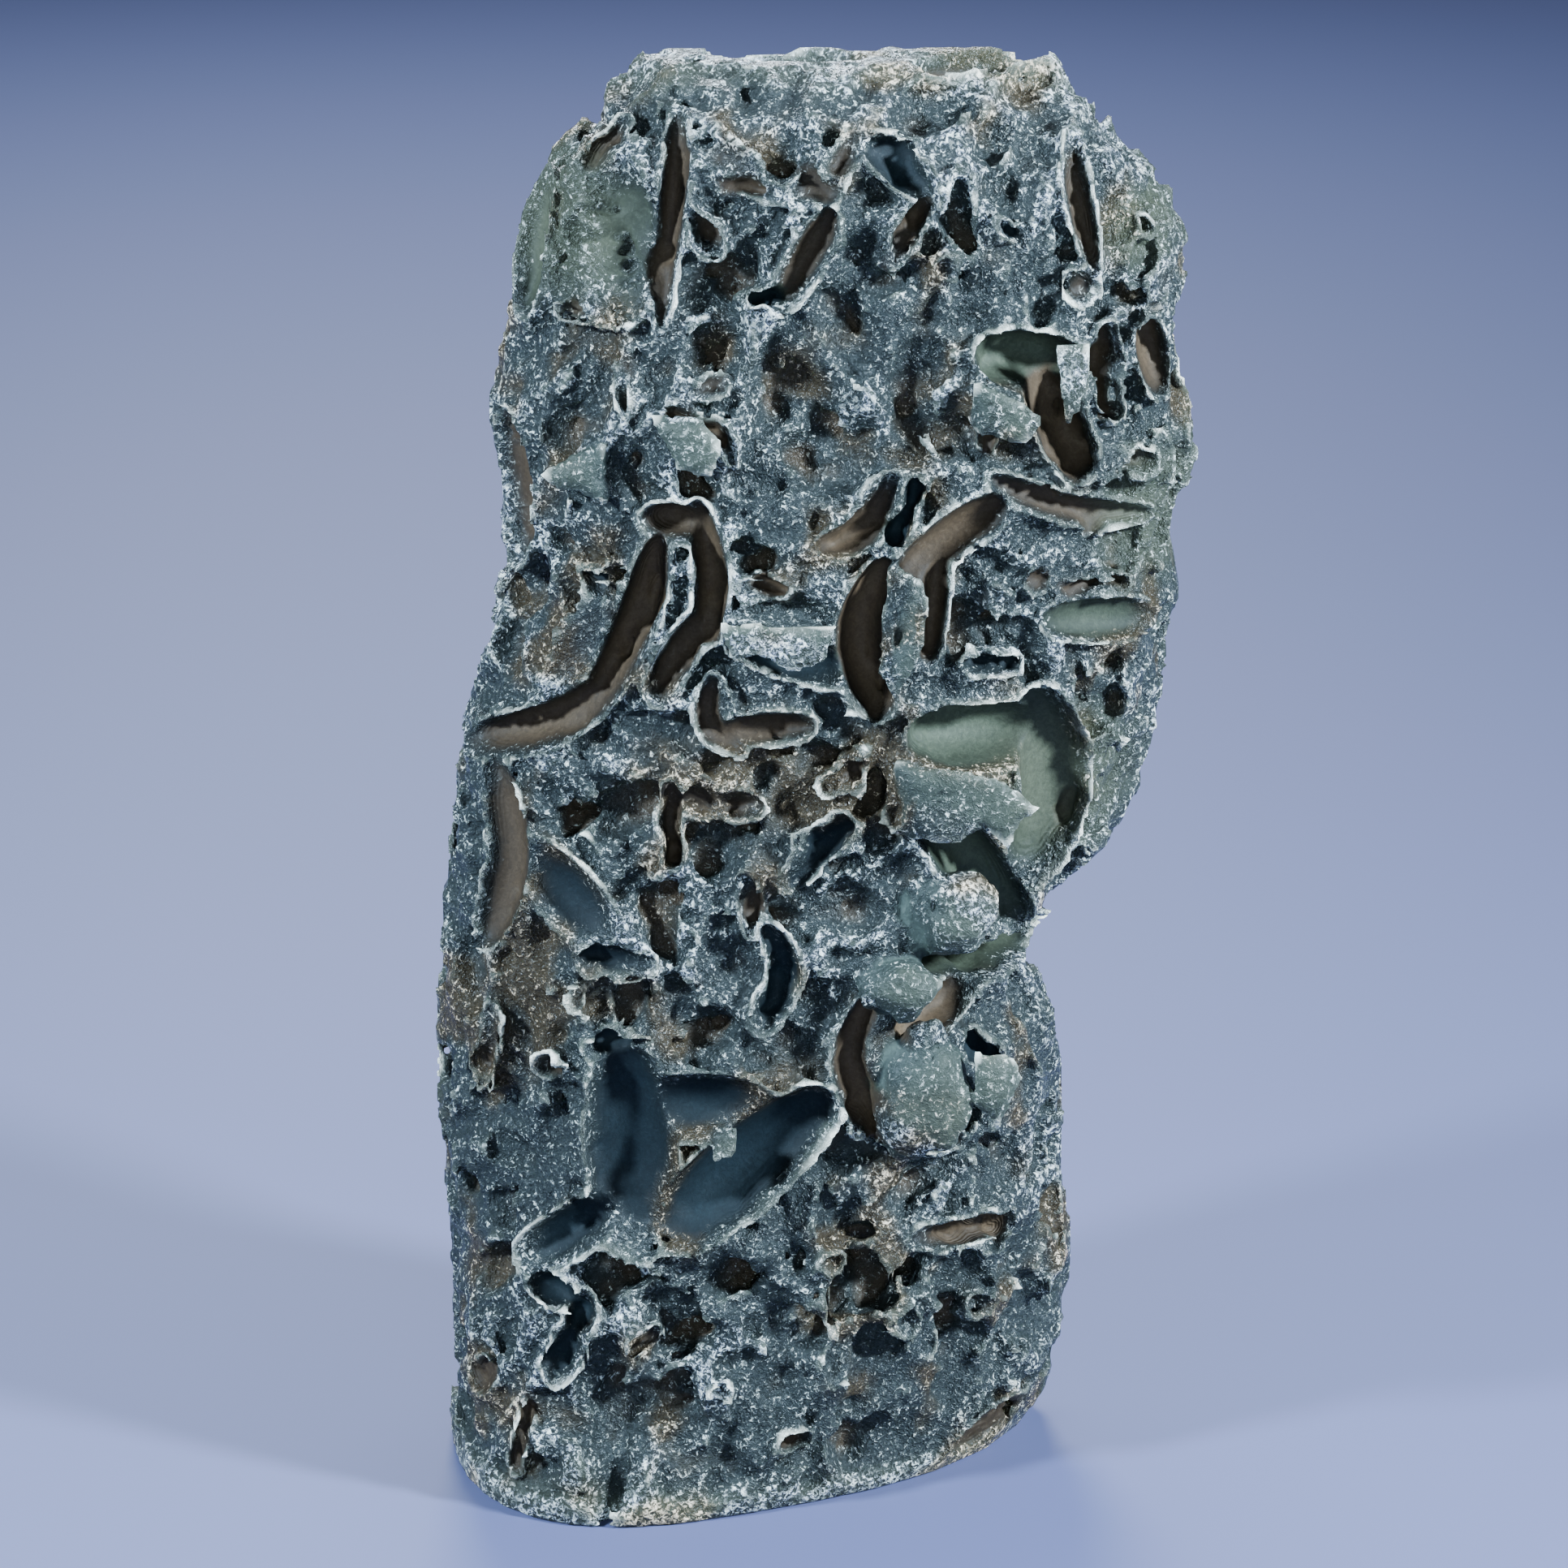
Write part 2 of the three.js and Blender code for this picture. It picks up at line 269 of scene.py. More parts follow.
def smooth_path(path):
    """Points along a smooth curve through the path's points."""
    path = np.array(path, np.float32)
    ends = np.vstack([2 * path[0] - path[1], path, 2 * path[-1] - path[-2]])
    spans = len(path) - 1
    curve = []
    for t in np.linspace(0, spans - 1e-4, PATH_STEPS):
        i = int(t)
        u = t - i
        a, b, c, d = ends[i:i + 4]
        curve.append(0.5 * (2 * b + (c - a) * u + (2 * a - 5 * b + 4 * c - d) * u ** 2
                            + (3 * b - a - 3 * c + d) * u ** 3))
    return np.array(curve, np.float32)


def block_around(least, most):
    """The slices of the cells between two corners."""
    start = np.clip(np.floor((least - origin) / CELL).astype(int), 0, counts)
    stop = np.clip(np.ceil((most - origin) / CELL).astype(int) + 1, 0, counts)
    return tuple(slice(a, b) for a, b in zip(start, stop))


def cells_of(block, space):
    """The places of a block's cells in the straight or the bent space."""
    shape = [part.stop - part.start for part in block]
    sides = [space[i][block] if space is bent else
             space[i][tuple(block[k] if i == k else slice(None) for k in range(3))]
             for i in range(3)]
    return np.stack([np.broadcast_to(side, shape) for side in sides], -1)


def spindle(cells, curve, width, depth, inward):
    """Less than zero inside the spindle, in mm, for the places of some cells."""
    inward = np.array(inward, np.float32)
    best = np.full(cells.shape[:3], 1e9, np.float32)
    steps = len(curve) - 1
    for i in range(steps):
        run = curve[i + 1] - curve[i]
        length = float(np.linalg.norm(run))
        run = run / length
        out = inward - run * float(inward @ run)
        out = out / np.linalg.norm(out)
        side = np.cross(run, out)
        offset = cells - curve[i]
        ahead = offset @ run
        t = np.clip(ahead, 0, length)
        squeezed = np.sqrt((offset @ side / (width / 2)) ** 2 + (offset @ out / depth) ** 2
                           + ((ahead - t) / (width / 2)) ** 2)
        share = 2 * (i + t / length) / steps - 1
        radius = np.maximum(1 - share * share, 0) ** (BLUNTNESS / 2)
        best = np.minimum(best, squeezed - radius)
    return best * min(width / 2, depth)


calm = np.full(counts, 9.0, np.float32)
tint = np.zeros(counts, np.float32)
TINTS = {"brown": 0.0, "olive": 0.5, "navy": 1.0, "pale": 1.5}
WOBBLE = 0.22
wobble = WOBBLE * soft_noise(0.9) + WOBBLE / 2 * soft_noise(0.45)


def cut(path, width, depth, inward=(0, 1, 0), wall="brown", grow=None):
    """Takes one hollow with uneven edges out of the glass, and marks its wall as calm and
    tinted. With grow, its plain form is taken out too, that much larger."""
    real = smooth_path(path)
    reach = max(width / 2, depth) + REACH_OVER
    block = block_around(real.min(0) - reach, real.max(0) + reach)
    hollow = spindle(cells_of(block, bent), bend(real), width, depth, inward)
    hollow += wobble[block] * min(1, depth / width)
    if grow is not None:
        plain = spindle(cells_of(block, place), real, width + 2 * grow, depth + grow, inward)
        hollow = np.minimum(plain, hollow)
    field[block] = np.maximum(field[block], -hollow)
    tint[block] = np.where(hollow < calm[block], TINTS[wall], tint[block])
    calm[block] = np.minimum(calm[block], hollow)

# %% [markdown]
# ## The large hollows, cut again
#
# The solid's own hollows have flat facets. Cutting each one again, a little larger and
# with round walls, leaves it smooth with a crisp rim, as acid does where it stayed for
# longest. Each wall gets a tint, which the colours use at the end.

# %% The large hollows
BACK, LEFT, RIGHT, TOP = (0, -1, 0), (1, 0, 0), (-1, 0, 0), (0, 0, -1)
GROW = 0.10

LARGE_HOLLOWS = [
    # Upper front.
    dict(path=[(-4.2, -2.4, 45.2), (-4.1, -3.4, 42.8), (-4.3, -3.6, 40.4), (-4.6, -4, 37.4)],
         width=0.7, depth=1.2),
    dict(path=[(-6.3, -2.6, 42), (-6.1, -3.5, 38)], width=3, depth=0.6, wall="olive"),
    dict(path=[(-8.4, -0.6, 42.4), (-8.9, -1, 37.6)],
         width=2.2, depth=0.7, inward=LEFT, wall="olive"),
    dict(path=[(-4.3, -3.4, 43.5), (-1.4, -4.1, 42)], width=1.3, depth=0.7),
    dict(path=[(0.4, -4, 42), (2.1, -4, 44.6)], width=0.8, depth=0.9),
    dict(path=[(-1.2, -4.5, 38.1), (0.5, -4.3, 41.1)], width=1, depth=1),
    dict(path=[(7.9, -2.4, 45), (7.6, -3, 42), (8.2, -3.2, 39)], width=0.7, depth=1.1),

    # The cave near the right edge and the grooves under it.
    dict(path=[(5, -4.4, 36.8), (8.1, -3.7, 36.1)], width=1.7, depth=1.9, wall="olive"),
    dict(path=[(6.4, -4.1, 36.6), (7.9, -3.8, 32.9)], width=1.4, depth=2),
    dict(path=[(9.8, -1.8, 37.2), (10.4, -1.6, 35)], width=0.9, depth=1.4),
    dict(path=[(5, -4.6, 33.2), (7.3, -4.2, 32.1), (10.6, -2.2, 31.3)], width=0.8, depth=1),

    # The Y-shaped trench, the bean and the trench that holds the standing leaf.
    dict(path=[(0.1, -4.8, 31.1), (1.4, -4.8, 31.6), (2.4, -4.8, 33.5)], width=0.95, depth=1),
    dict(path=[(5.6, -4.5, 32.5), (2.4, -4.9, 30.1)], width=1.3, depth=1.2),
    dict(path=[(3.7, -4.7, 31.2), (3.3, -4.9, 27.5)], width=0.8, depth=1.3),
    dict(path=[(2.2, -4.8, 30.8), (1.3, -5, 28.3), (2, -5, 25.8)], width=1.4, depth=1.8),
    dict(path=[(-2.6, -4.9, 28.4), (1.3, -5.1, 27.2)], width=1.3, depth=1.1, wall="navy"),

    # The long double trench on the left, with the two pits beside it.
    dict(path=[(-5.1, -4.3, 31.8), (-3.5, -4.7, 31.7)], width=1.1, depth=1.3),
    dict(path=[(-3.6, -4.6, 32.6), (-3.1, -4.8, 30.1), (-3.4, -4.9, 28)], width=0.9, depth=1.5),
    dict(path=[(-3.2, -4.8, 29.2), (-5, -4.8, 26.3)], width=1, depth=1.2),
    dict(path=[(-4.6, -4.4, 31.4), (-5.4, -4.4, 28.6), (-7, -4.2, 25.4)], width=1.1, depth=1.8),
    dict(path=[(-5.5, -4.6, 27.4), (-7.8, -3.8, 25.4), (-11.9, -0.8, 23.6)],
         width=1.1, depth=1.4),
    dict(path=[(-5.8, -4.2, 30.2), (-8.6, -3.2, 26)], width=1.9, depth=0.6),
    dict(path=[(-3, -5, 27.3), (-3.2, -5.1, 25.7), (-2, -5.2, 24.7)], width=0.8, depth=1),
    dict(path=[(-3.2, -5.1, 25.3), (0, -5.2, 25.7)], width=1, depth=1),
    dict(path=[(-9.6, -1.2, 34), (-9.4, -1.4, 30)], width=2.6, depth=1, inward=LEFT),

    # The bay on the right: two smooth bowls that run down into the notch.
    dict(path=[(3, -4.9, 25.3), (7.4, -3.9, 25.1)], width=1.9, depth=1.7, wall="olive"),
    dict(path=[(6.5, -4.1, 26.4), (7.4, -3.5, 23.2), (6.3, -3.6, 19.8)],
         width=2.3, depth=1.4, wall="olive"),
    dict(path=[(3, -4.9, 23.4), (4.9, -4.4, 20.9), (6.6, -2.4, 18)],
         width=1.7, depth=1.5, wall="olive"),
    dict(path=[(6.7, -4.1, 28.7), (10.8, -1.6, 28.1)], width=1.2, depth=0.6, wall="olive"),
    dict(path=[(3, -4.3, 17.9), (8.2, 0.6, 17.1)], width=1.3, depth=2.5, wall="olive"),

    # The middle and the left flank.
    dict(path=[(-9.9, -2.4, 24), (-9.5, -3.3, 21), (-10.3, -2.9, 18)], width=1.5, depth=0.9),
    dict(path=[(-9, -3.8, 21.4), (-6.4, -5, 19.2)], width=1.9, depth=0.7, wall="navy"),
    dict(path=[(-1.6, -5.4, 19.6), (-0.9, -5.5, 17.8), (-1.7, -5.6, 15.9)],
         width=0.9, depth=1.2, wall="navy"),

    # The three smooth bowls low on the front, and the pits to their left.
    dict(path=[(-5.8, -5.4, 15.4), (-5.5, -6, 9)], width=2.8, depth=1.4, wall="navy"),
    dict(path=[(-5.8, -5.6, 13.8), (-1.4, -5.7, 13.8)], width=2, depth=1, wall="navy"),
    dict(path=[(-4.8, -6, 9.4), (0.5, -5.6, 14)], width=2.6, depth=1.7, wall="navy"),
    dict(path=[(-9.4, -4.8, 8.2), (-5.9, -6, 10.7)], width=1.5, depth=1.2, wall="navy"),
    dict(path=[(-8.9, -5.1, 7.9), (-7.6, -5.6, 7.4)], width=0.9, depth=1.1, wall="navy"),

    # The lower right: a crescent trench round a dome, and a chip off the foot.
    dict(path=[(2.7, -4.6, 15.8), (5.1, -3.1, 17)], width=1.2, depth=1.2),
    dict(path=[(1.7, -4.9, 17.2), (1, -5.3, 15), (2.2, -5, 12.9), (4.9, -3.6, 11.8)],
         width=1, depth=1.1),
    dict(path=[(4.6, -2.4, 0.6), (9.2, 0.4, 2)], width=1.8, depth=1.1),

    # The right flank.
    dict(path=[(11.4, 2, 36), (11.3, 0.6, 29)], width=2.6, depth=0.8, inward=RIGHT),
    dict(path=[(8.6, 4, 13.6), (8.7, 1.6, 6)], width=3, depth=0.9, inward=RIGHT),
    dict(path=[(9.6, 3.4, 24.4), (8.4, 3, 19.2)], width=2.4, depth=1, inward=RIGHT),

    # The left flank.
    dict(path=[(-12, 2.6, 15.6), (-12.2, 0.6, 9.4)], width=2.8, depth=1, inward=LEFT),
    dict(path=[(-11.6, 3.2, 22.6), (-11.9, 2.2, 17.2)], width=2.2, depth=0.9, inward=LEFT),
    dict(path=[(-11.8, 1.4, 6.8), (-11.9, 3, 2.4)], width=2, depth=0.7, inward=LEFT),

    # The back.
    dict(path=[(-8, 3.8, 38.6), (-4.4, 5, 41.6)], width=2.4, depth=1.1, inward=BACK),
    dict(path=[(-6.4, 5.2, 36), (-2.4, 5.5, 31.6)], width=2.8, depth=1.5, inward=BACK),
    dict(path=[(1.6, 4.6, 42.6), (3, 5.4, 37.4)], width=1.8, depth=1.3, inward=BACK),
    dict(path=[(5, 4.8, 38.8), (8.6, 3.8, 35.4)], width=2.6, depth=1.4, inward=BACK),
    dict(path=[(1.4, 6, 33.6), (6.8, 5, 31)], width=2, depth=1.3, inward=BACK),
    dict(path=[(-9.6, 4.2, 28.6), (-6.2, 5.8, 25.6), (-5.6, 6.2, 22.6)],
         width=2, depth=1.4, inward=BACK),
    dict(path=[(-2.4, 6.2, 28.4), (3.2, 6.2, 26.4)], width=3.2, depth=1.5, inward=BACK),
    dict(path=[(6.4, 5.2, 28), (8.6, 4.2, 23.6)], width=2.2, depth=1.1, inward=BACK),
    dict(path=[(-1.6, 6.4, 23), (0.4, 6.2, 17.6)], width=1.8, depth=1.4, inward=BACK),
    dict(path=[(-9.6, 4.4, 17.8), (-5, 6, 16.6)], width=2.6, depth=1.3, inward=BACK),
    dict(path=[(2.4, 5.8, 16.6), (6.2, 4.8, 12.4)], width=3, depth=1.4, inward=BACK),
    dict(path=[(-6.8, 5.4, 13.4), (-4, 5.8, 7.4)], width=2.4, depth=1.5, inward=BACK),
    dict(path=[(-1.6, 5.6, 6.4), (3.6, 5.6, 4.2)], width=2.4, depth=1.1, inward=BACK),

    # The top.
    dict(path=[(-3, 1.6, 44.7), (1.2, 0.6, 45)], width=2.2, depth=0.8, inward=TOP),
    dict(path=[(3.2, -0.6, 44.6), (6.6, 1.6, 44.4)], width=2, depth=0.9, inward=TOP),
]

for hollow in LARGE_HOLLOWS:
    cut(**hollow, grow=GROW)
print("large hollows:", len(LARGE_HOLLOWS))

# %% [markdown]
# ## The small hollows of the front
#
# The slots, grooves and pits of about a millimetre are too fine for the coarse solid.
# Each is placed by where it is seen from the front, and a ray finds how deep the skin
# lies there.

# %% Small hollows
FRONT_START = -20.0
deps = bpy.context.evaluated_depsgraph_get()
body_tree = BVHTree.FromObject(bpy.data.objects[STONE], deps)


def on_front(x, z):
    """The place on the solid's front that is seen at x and z."""
    hit = body_tree.ray_cast(Vector((x, FRONT_START, z)) * MM, (0, 1, 0))[0]
    return tuple(hit / MM)


SMALL_HOLLOWS = [
    # Upper front: scoops and slits under the top.
    dict(path=[(1.5, 43.0), (3.4, 41.6)], width=1.1, depth=0.8),
    dict(path=[(-0.9, 41.4), (0.7, 41.6)], width=0.77, depth=0.8),
    dict(path=[(-3.9, 41.1), (-2.9, 39.7)], width=0.77, depth=0.9),
    dict(path=[(-6.7, 42.1), (-5.6, 43.2)], width=0.68, depth=0.7),
    dict(path=[(-3.2, 42.1), (-0.8, 41.4)], width=0.42, depth=0.5),
    dict(path=[(-1.9, 38.5), (-0.9, 38.6)], width=0.42, depth=0.7),
    dict(path=[(2.2, 39.3), (2.8, 40.8), (3.9, 41.7)], width=0.51, depth=0.7),
    dict(path=[(-6.1, 36.5), (-5.7, 34.9)], width=0.4, depth=0.7),
    dict(path=[(-7.8, 37.8), (-6.9, 37.6)], width=0.42, depth=0.6),
    dict(path=[(5.3, 40.6), (5.8, 40.1)], width=0.51, depth=0.7),
    dict(path=[(3.6, 39.5), (4.0, 39.1)], width=0.51, depth=0.7),
    dict(path=[(7.4, 38.8), (8.1, 38.3)], width=0.85, depth=0.7),
    dict(path=[(9.6, 40.5), (9.9, 40.0)], width=0.42, depth=0.7),
    dict(path=[(10.3, 39.1), (10.2, 37.9)], width=0.4, depth=0.7),

    # Round the cave and over the trenches.
    dict(path=[(8.6, 37.6), (8.9, 34.6)], width=0.94, depth=1.5),
    dict(path=[(7.2, 33.7), (10.2, 33.0)], width=0.51, depth=0.7),
    dict(path=[(5.1, 35.4), (5.2, 33.7)], width=0.42, depth=0.8),
    dict(path=[(-4.5, 35.2), (-3.0, 34.7), (-2.3, 33.4)], width=0.51, depth=0.8),
    dict(path=[(-3.8, 35.6), (-2.5, 35.7)], width=0.68, depth=0.7),
    dict(path=[(-7.0, 29.6), (-6.6, 29.2)], width=0.51, depth=0.6),
    dict(path=[(-2.1, 29.9), (-0.8, 29.9)], width=0.59, depth=0.8),
    dict(path=[(3.0, 33.1), (2.3, 31.2)], width=0.77, depth=0.9),
    dict(path=[(5.1, 29.8), (5.6, 29.6)], width=0.51, depth=0.7),
    dict(path=[(6.4, 30.1), (6.8, 29.7)], width=0.51, depth=0.7),
    dict(path=[(7.3, 29.5), (9.4, 29.4)], width=0.42, depth=0.6),
    dict(path=[(4.3, 27.3), (6.1, 27.4)], width=0.59, depth=0.8),

    # The middle.
    dict(path=[(-4.3, 23.2), (-1.6, 23.0)], width=0.94, depth=0.9),
    dict(path=[(-4.3, 23.9), (-4.3, 21.1)], width=0.77, depth=0.9),
    dict(path=[(-1.0, 20.6), (0.7, 23.0)], width=0.85, depth=0.9),
    dict(path=[(0.2, 23.5), (1.3, 24.2)], width=0.68, depth=0.8),
    dict(path=[(-2.0, 18.9), (-2.1, 21.1)], width=0.59, depth=0.6),
    dict(path=[(7.6, 20.8), (7.7, 23.4)], width=0.59, depth=0.7),

    # The lower left, beside the bowls.
    dict(path=[(-9.8, 16.4), (-10.2, 13.6)], width=0.85, depth=0.7),
    dict(path=[(-7.0, 15.4), (-5.0, 15.9)], width=0.68, depth=0.7),
    dict(path=[(-7.3, 18.1), (-4.7, 18.2)], width=0.85, depth=0.7),
    dict(path=[(-8.5, 15.0), (-8.1, 14.5)], width=0.68, depth=0.8),
    dict(path=[(-7.4, 17.3), (-7.2, 16.7)], width=0.68, depth=0.6),
    dict(path=[(-10.7, 4.3), (-10.5, 3.7)], width=0.85, depth=0.8),

    # Below the bowls and the crescent.
    dict(path=[(-8.0, 4.5), (-6.9, 7.6)], width=0.77, depth=1.0),
    dict(path=[(-5.7, 5.6), (-4.9, 6.6)], width=0.51, depth=0.7),
    dict(path=[(4.7, 15.3), (5.7, 13.5)], width=0.77, depth=1.1),
    dict(path=[(3.0, 8.9), (6.4, 8.6)], width=0.94, depth=0.8),
    dict(path=[(0.2, 8.6), (0.8, 8.4)], width=0.51, depth=0.6),
    dict(path=[(2.6, 6.3), (3.2, 5.8)], width=0.85, depth=0.8),
    dict(path=[(5.0, 6.3), (5.6, 5.8)], width=0.68, depth=0.7),
    dict(path=[(-3.2, 4.4), (-2.6, 4.4)], width=0.51, depth=0.6),
    dict(path=[(-1.0, 2.5), (-0.2, 2.6)], width=0.68, depth=0.7),
    dict(path=[(-8.9, 3.6), (-9.4, 1.2)], width=0.4, depth=0.8),
]

LEAN = 0.7
BROWN_SHARE = 0.8

for hollow in SMALL_HOLLOWS:
    lean = rng.uniform(-LEAN, LEAN, 2)
    wall = "brown" if rng.random() < BROWN_SHARE else "navy"
    cut([on_front(x, z) for x, z in hollow["path"]], hollow["width"], hollow["depth"],
        inward=(lean[0], 1, lean[1]), wall=wall)
print("small hollows:", len(SMALL_HOLLOWS))

# %% [markdown]
# ## Flakes that the acid left
#
# A few thin blades still stand or hang in the hollows, where two hollows met from both
# sides and didn't quite break through. Each is a flat outline with a thickness that thins
# towards its edge, added to the glass instead of taken away. A few round lobes stand
# between the grooves at the waist, and they are added in the same way.

# %% Joining a form to the glass
def join(block, form):
    """Adds a form to the glass and marks its skin as calm and pale."""
    field[block] = np.minimum(field[block], form)
    tint[block] = np.where(form < calm[block], TINTS["pale"], tint[block])
    calm[block] = np.minimum(calm[block], form)


# %% Adding a blade
BLADE_TAPER = 0.3
THINNEST = 0.5


def outline_distance(u, v, corners):
    """Less than zero inside a flat outline."""
    distance = np.full(u.shape, 1e9, np.float32)
    inside = np.zeros(u.shape, bool)
    for (au, av), (bu, bv) in zip(corners, np.roll(corners, -1, axis=0)):
        eu, ev = bu - au, bv - av
        t = np.clip(((u - au) * eu + (v - av) * ev) / (eu * eu + ev * ev), 0, 1)
        distance = np.minimum(distance, np.hypot(u - au - t * eu, v - av - t * ev))
        crosses = (av > v) != (bv > v)
        inside ^= crosses & (u < au + eu * (v - av) / (ev if ev else 1e-9))
    return np.where(inside, -distance, distance)


def add_blade(outline, thick):
    """Adds a blade whose outline is given by its corners, in order."""
    real = np.array(outline, np.float32)
    corners = bend(real)
    middle = corners.mean(0)
    axes = np.linalg.svd(corners - middle)[2]
    block = block_around(real.min(0) - REACH_OVER, real.max(0) + REACH_OVER)
    cells = np.stack([bent[i][block] - middle[i] for i in range(3)], -1)
    flat = outline_distance(cells @ axes[0], cells @ axes[1], (corners - middle) @ axes[:2].T)
    half = thick / 2 * np.clip(-flat / BLADE_TAPER, THINNEST, 1)
    blade = np.maximum(flat, np.abs(cells @ axes[2]) - half)
    join(block, blade)


# %% Adding a lobe
def add_lobe(middle, radii):
    """Adds a soft egg, such as the acid leaves between two grooves."""
    middle, radii = np.array(middle, np.float32), np.array(radii, np.float32)
    block = block_around(middle - radii - REACH_OVER, middle + radii + REACH_OVER)
    cells = (cells_of(block, bent) - bend(middle[None])[0]) / radii
    egg = (np.sqrt((cells ** 2).sum(-1)) - 1) * radii.min()
    join(block, egg + wobble[block])


BLADES = {
    "leaf in the trench": dict(thick=0.42, outline=[
        (2.2, -4.3, 30.7), (3.1, -4.7, 30.2), (3.4, -4.9, 29.3), (3.2, -4.9, 28.3),
        (2.8, -4.9, 27.3), (2.3, -4.8, 26.6), (1.9, -4.5, 27.3), (1.9, -4.2, 28.8)]),
    "tooth over the cave": dict(thick=0.40, outline=[
        (6.9, -3.9, 37.2), (8.1, -3.7, 37.0), (7.9, -3.7, 35.6), (7.4, -3.8, 34.4)]),
    "flap at the cave's left": dict(thick=0.42, outline=[
        (4.6, -4.4, 36.1), (5.5, -4.5, 35.8), (6.7, -4.5, 35.0), (6.2, -4.5, 34.2),
        (5.4, -4.5, 34.4), (4.7, -4.3, 34.6)]),
    "flap in the right bay": dict(thick=0.42, outline=[
        (2.4, -4.7, 24.6), (4.4, -5.0, 24.4), (5.7, -5.0, 23.9), (6.7, -4.6, 23.1),
        (6.1, -4.8, 22.7), (5.8, -4.6, 21.7), (5.1, -4.9, 22.5), (4.3, -4.9, 22.0),
        (2.7, -4.7, 22.3)]),
    "fang on the left": dict(thick=0.40, outline=[
        (-6.2, -3.9, 34.1), (-8.3, -3.3, 33.1), (-7.7, -3.4, 32.6), (-6.3, -3.8, 32.2)]),
    "hood over the left trench": dict(thick=0.42, outline=[
        (-4.9, -4.4, 35.1), (-3.4, -4.8, 35.2), (-2.7, -4.9, 34.3), (-3.0, -4.9, 33.3),
        (-4.1, -4.7, 33.5)]),
    "lip over the lower trench": dict(thick=0.40, outline=[
        (-2.9, -5.1, 29.0), (0.6, -5.1, 28.9), (0.3, -5.2, 27.8), (-0.9, -5.2, 27.5),
        (-1.6, -5.2, 28.0), (-2.6, -5.2, 27.9)]),
    "fin between the bowls": dict(thick=0.36, outline=[
        (-3.2, -5.0, 13.0), (-2.3, -5.3, 13.1), (-2.6, -5.9, 12.4), (-3.1, -5.7, 12.0)]),
    "ear beside the lobe": dict(thick=0.45, outline=[
        (4.9, -4.9, 15.4), (5.9, -4.6, 15.2), (6.3, -4.4, 14.4), (5.8, -4.6, 13.4),
        (5.6, -4.7, 12.6), (5.3, -4.8, 13.3), (4.8, -4.9, 13.7)]),
}
LOBES = [((3.2, -4.6, 14.0), (1.5, 1.0, 2.1)), ((4.0, -4.2, 19.7), (1.4, 1.0, 1.3)),
         ((2.6, -4.9, 17.4), (1.2, 0.7, 0.9))]

for lobe in LOBES:
    add_lobe(*lobe)
for blade in BLADES.values():
    add_blade(**blade)
print("lobes:", len(LOBES), "and blades:", ", ".join(BLADES))

# %% [markdown]
# ## Crumples
#
# Where soft noise passes through zero it makes a winding line. Taking glass away by the
# size of the noise therefore leaves a sharp crest on every such line, like crumpled paper.
# On the front and the back this is done downwards from a sheet laid over the stone, which
# spans the hollows, so their walls stay smooth and their rims come out ragged.

# %% A sheet over the front and the back
SHEET_REACH = 1.3
FOOT = 0.5
FOOT_FADE = 1.2


def ease(values, start, end):
    """Goes smoothly from 0 at start to 1 at end."""
    t = np.clip((values - start) / (end - start), 0, 1)
    return t * t * (3 - 2 * t)


def spread(sheet, pick):
    """Each cell takes the least or the most of its neighbours, again and again."""
    for _ in range(round(SHEET_REACH / CELL)):
        for axis in (0, 1):
            for step in (1, -1):
                sheet = pick(sheet, np.roll(sheet, step, axis))
    return sheet


def sheet_over(block):
    """How far along y the glass starts, with the narrow hollows spanned."""
    glass = block < 0
    first = np.argmax(glass, axis=1) * CELL
    first[~glass.any(axis=1)] = counts[1] * CELL / 2
    return spread(spread(first, np.minimum), np.maximum).astype(np.float32)


# %% Crumpling the skin
CRUMPLES = ((2.6, 0.40), (1.4, 0.85), (0.75, 0.50), (0.42, 0.26))
CREST = 0.22
DEEPEST = 0.6
SHEET_LIFT = 0.1
SIDES_SHARE = 0.7

rough_depth = sum(size * np.minimum(np.abs(soft_noise(grain)), DEEPEST)
                  for grain, size in CRUMPLES)
faced = np.clip(np.abs(np.gradient(field, axis=1)) / CELL, 0, 1) ** 2
above_foot = ease(place[2], FOOT, FOOT_FADE)

for side in (1, -1):
    flipped = (slice(None), slice(None, None, side))
    sheet = sheet_over(field[flipped])
    level = np.clip(np.round(sheet / CELL).astype(int), 0, counts[1] - 1)
    here = np.take_along_axis(calm[flipped], level[:, None], axis=1)
    down = sheet[:, None] - (np.arange(counts[1]) * CELL)[None, :, None]
    crumpled = down + rough_depth[flipped] * ease(here, -0.05, 0.20) * above_foot
    field[flipped] = np.maximum(field[flipped], crumpled - SHEET_LIFT)
field += (rough_depth - CREST * sum(size for _, size in CRUMPLES)) * (
    ease(calm, 0.1, 0.6) * above_foot * (1 - faced) * SIDES_SHARE)
for axis in range(3):
    field = np.maximum(field, np.maximum(low[axis] - place[axis], place[axis] - high[axis]))

# %% [markdown]
# ## Scallops all over
#
# Each scallop is an egg-shaped bite whose middle floats above the skin, so it leaves a
# shallow dish, and where dishes overlap a sharp ridge stands between them. Wide bites come
# first, and finer ones bite into their ridges. Near a large hollow the bites shrink, which
# keeps its rim whole. They lie roughly along a grain that wanders over the stone.

# %% Points on the skin
def skin_of(values):
    """Points on the surface of the block in mm, with outward normals and the quads."""
    grid = openvdb.FloatGrid(4 * CELL)
    grid.copyFromArray(values)
    cell_points, _, quads = grid.convertToPolygons(isovalue=0.0, adaptivity=0.0)
    at = cell_points * CELL + origin
    slopes = np.stack([trilinear(slope, at) for slope in np.gradient(values)], -1)
    steepness = np.linalg.norm(slopes, axis=1, keepdims=True)
    return at, slopes / np.maximum(steepness, 1e-6), quads


wander = [soft_noise(7.0) for axis in range(3)]


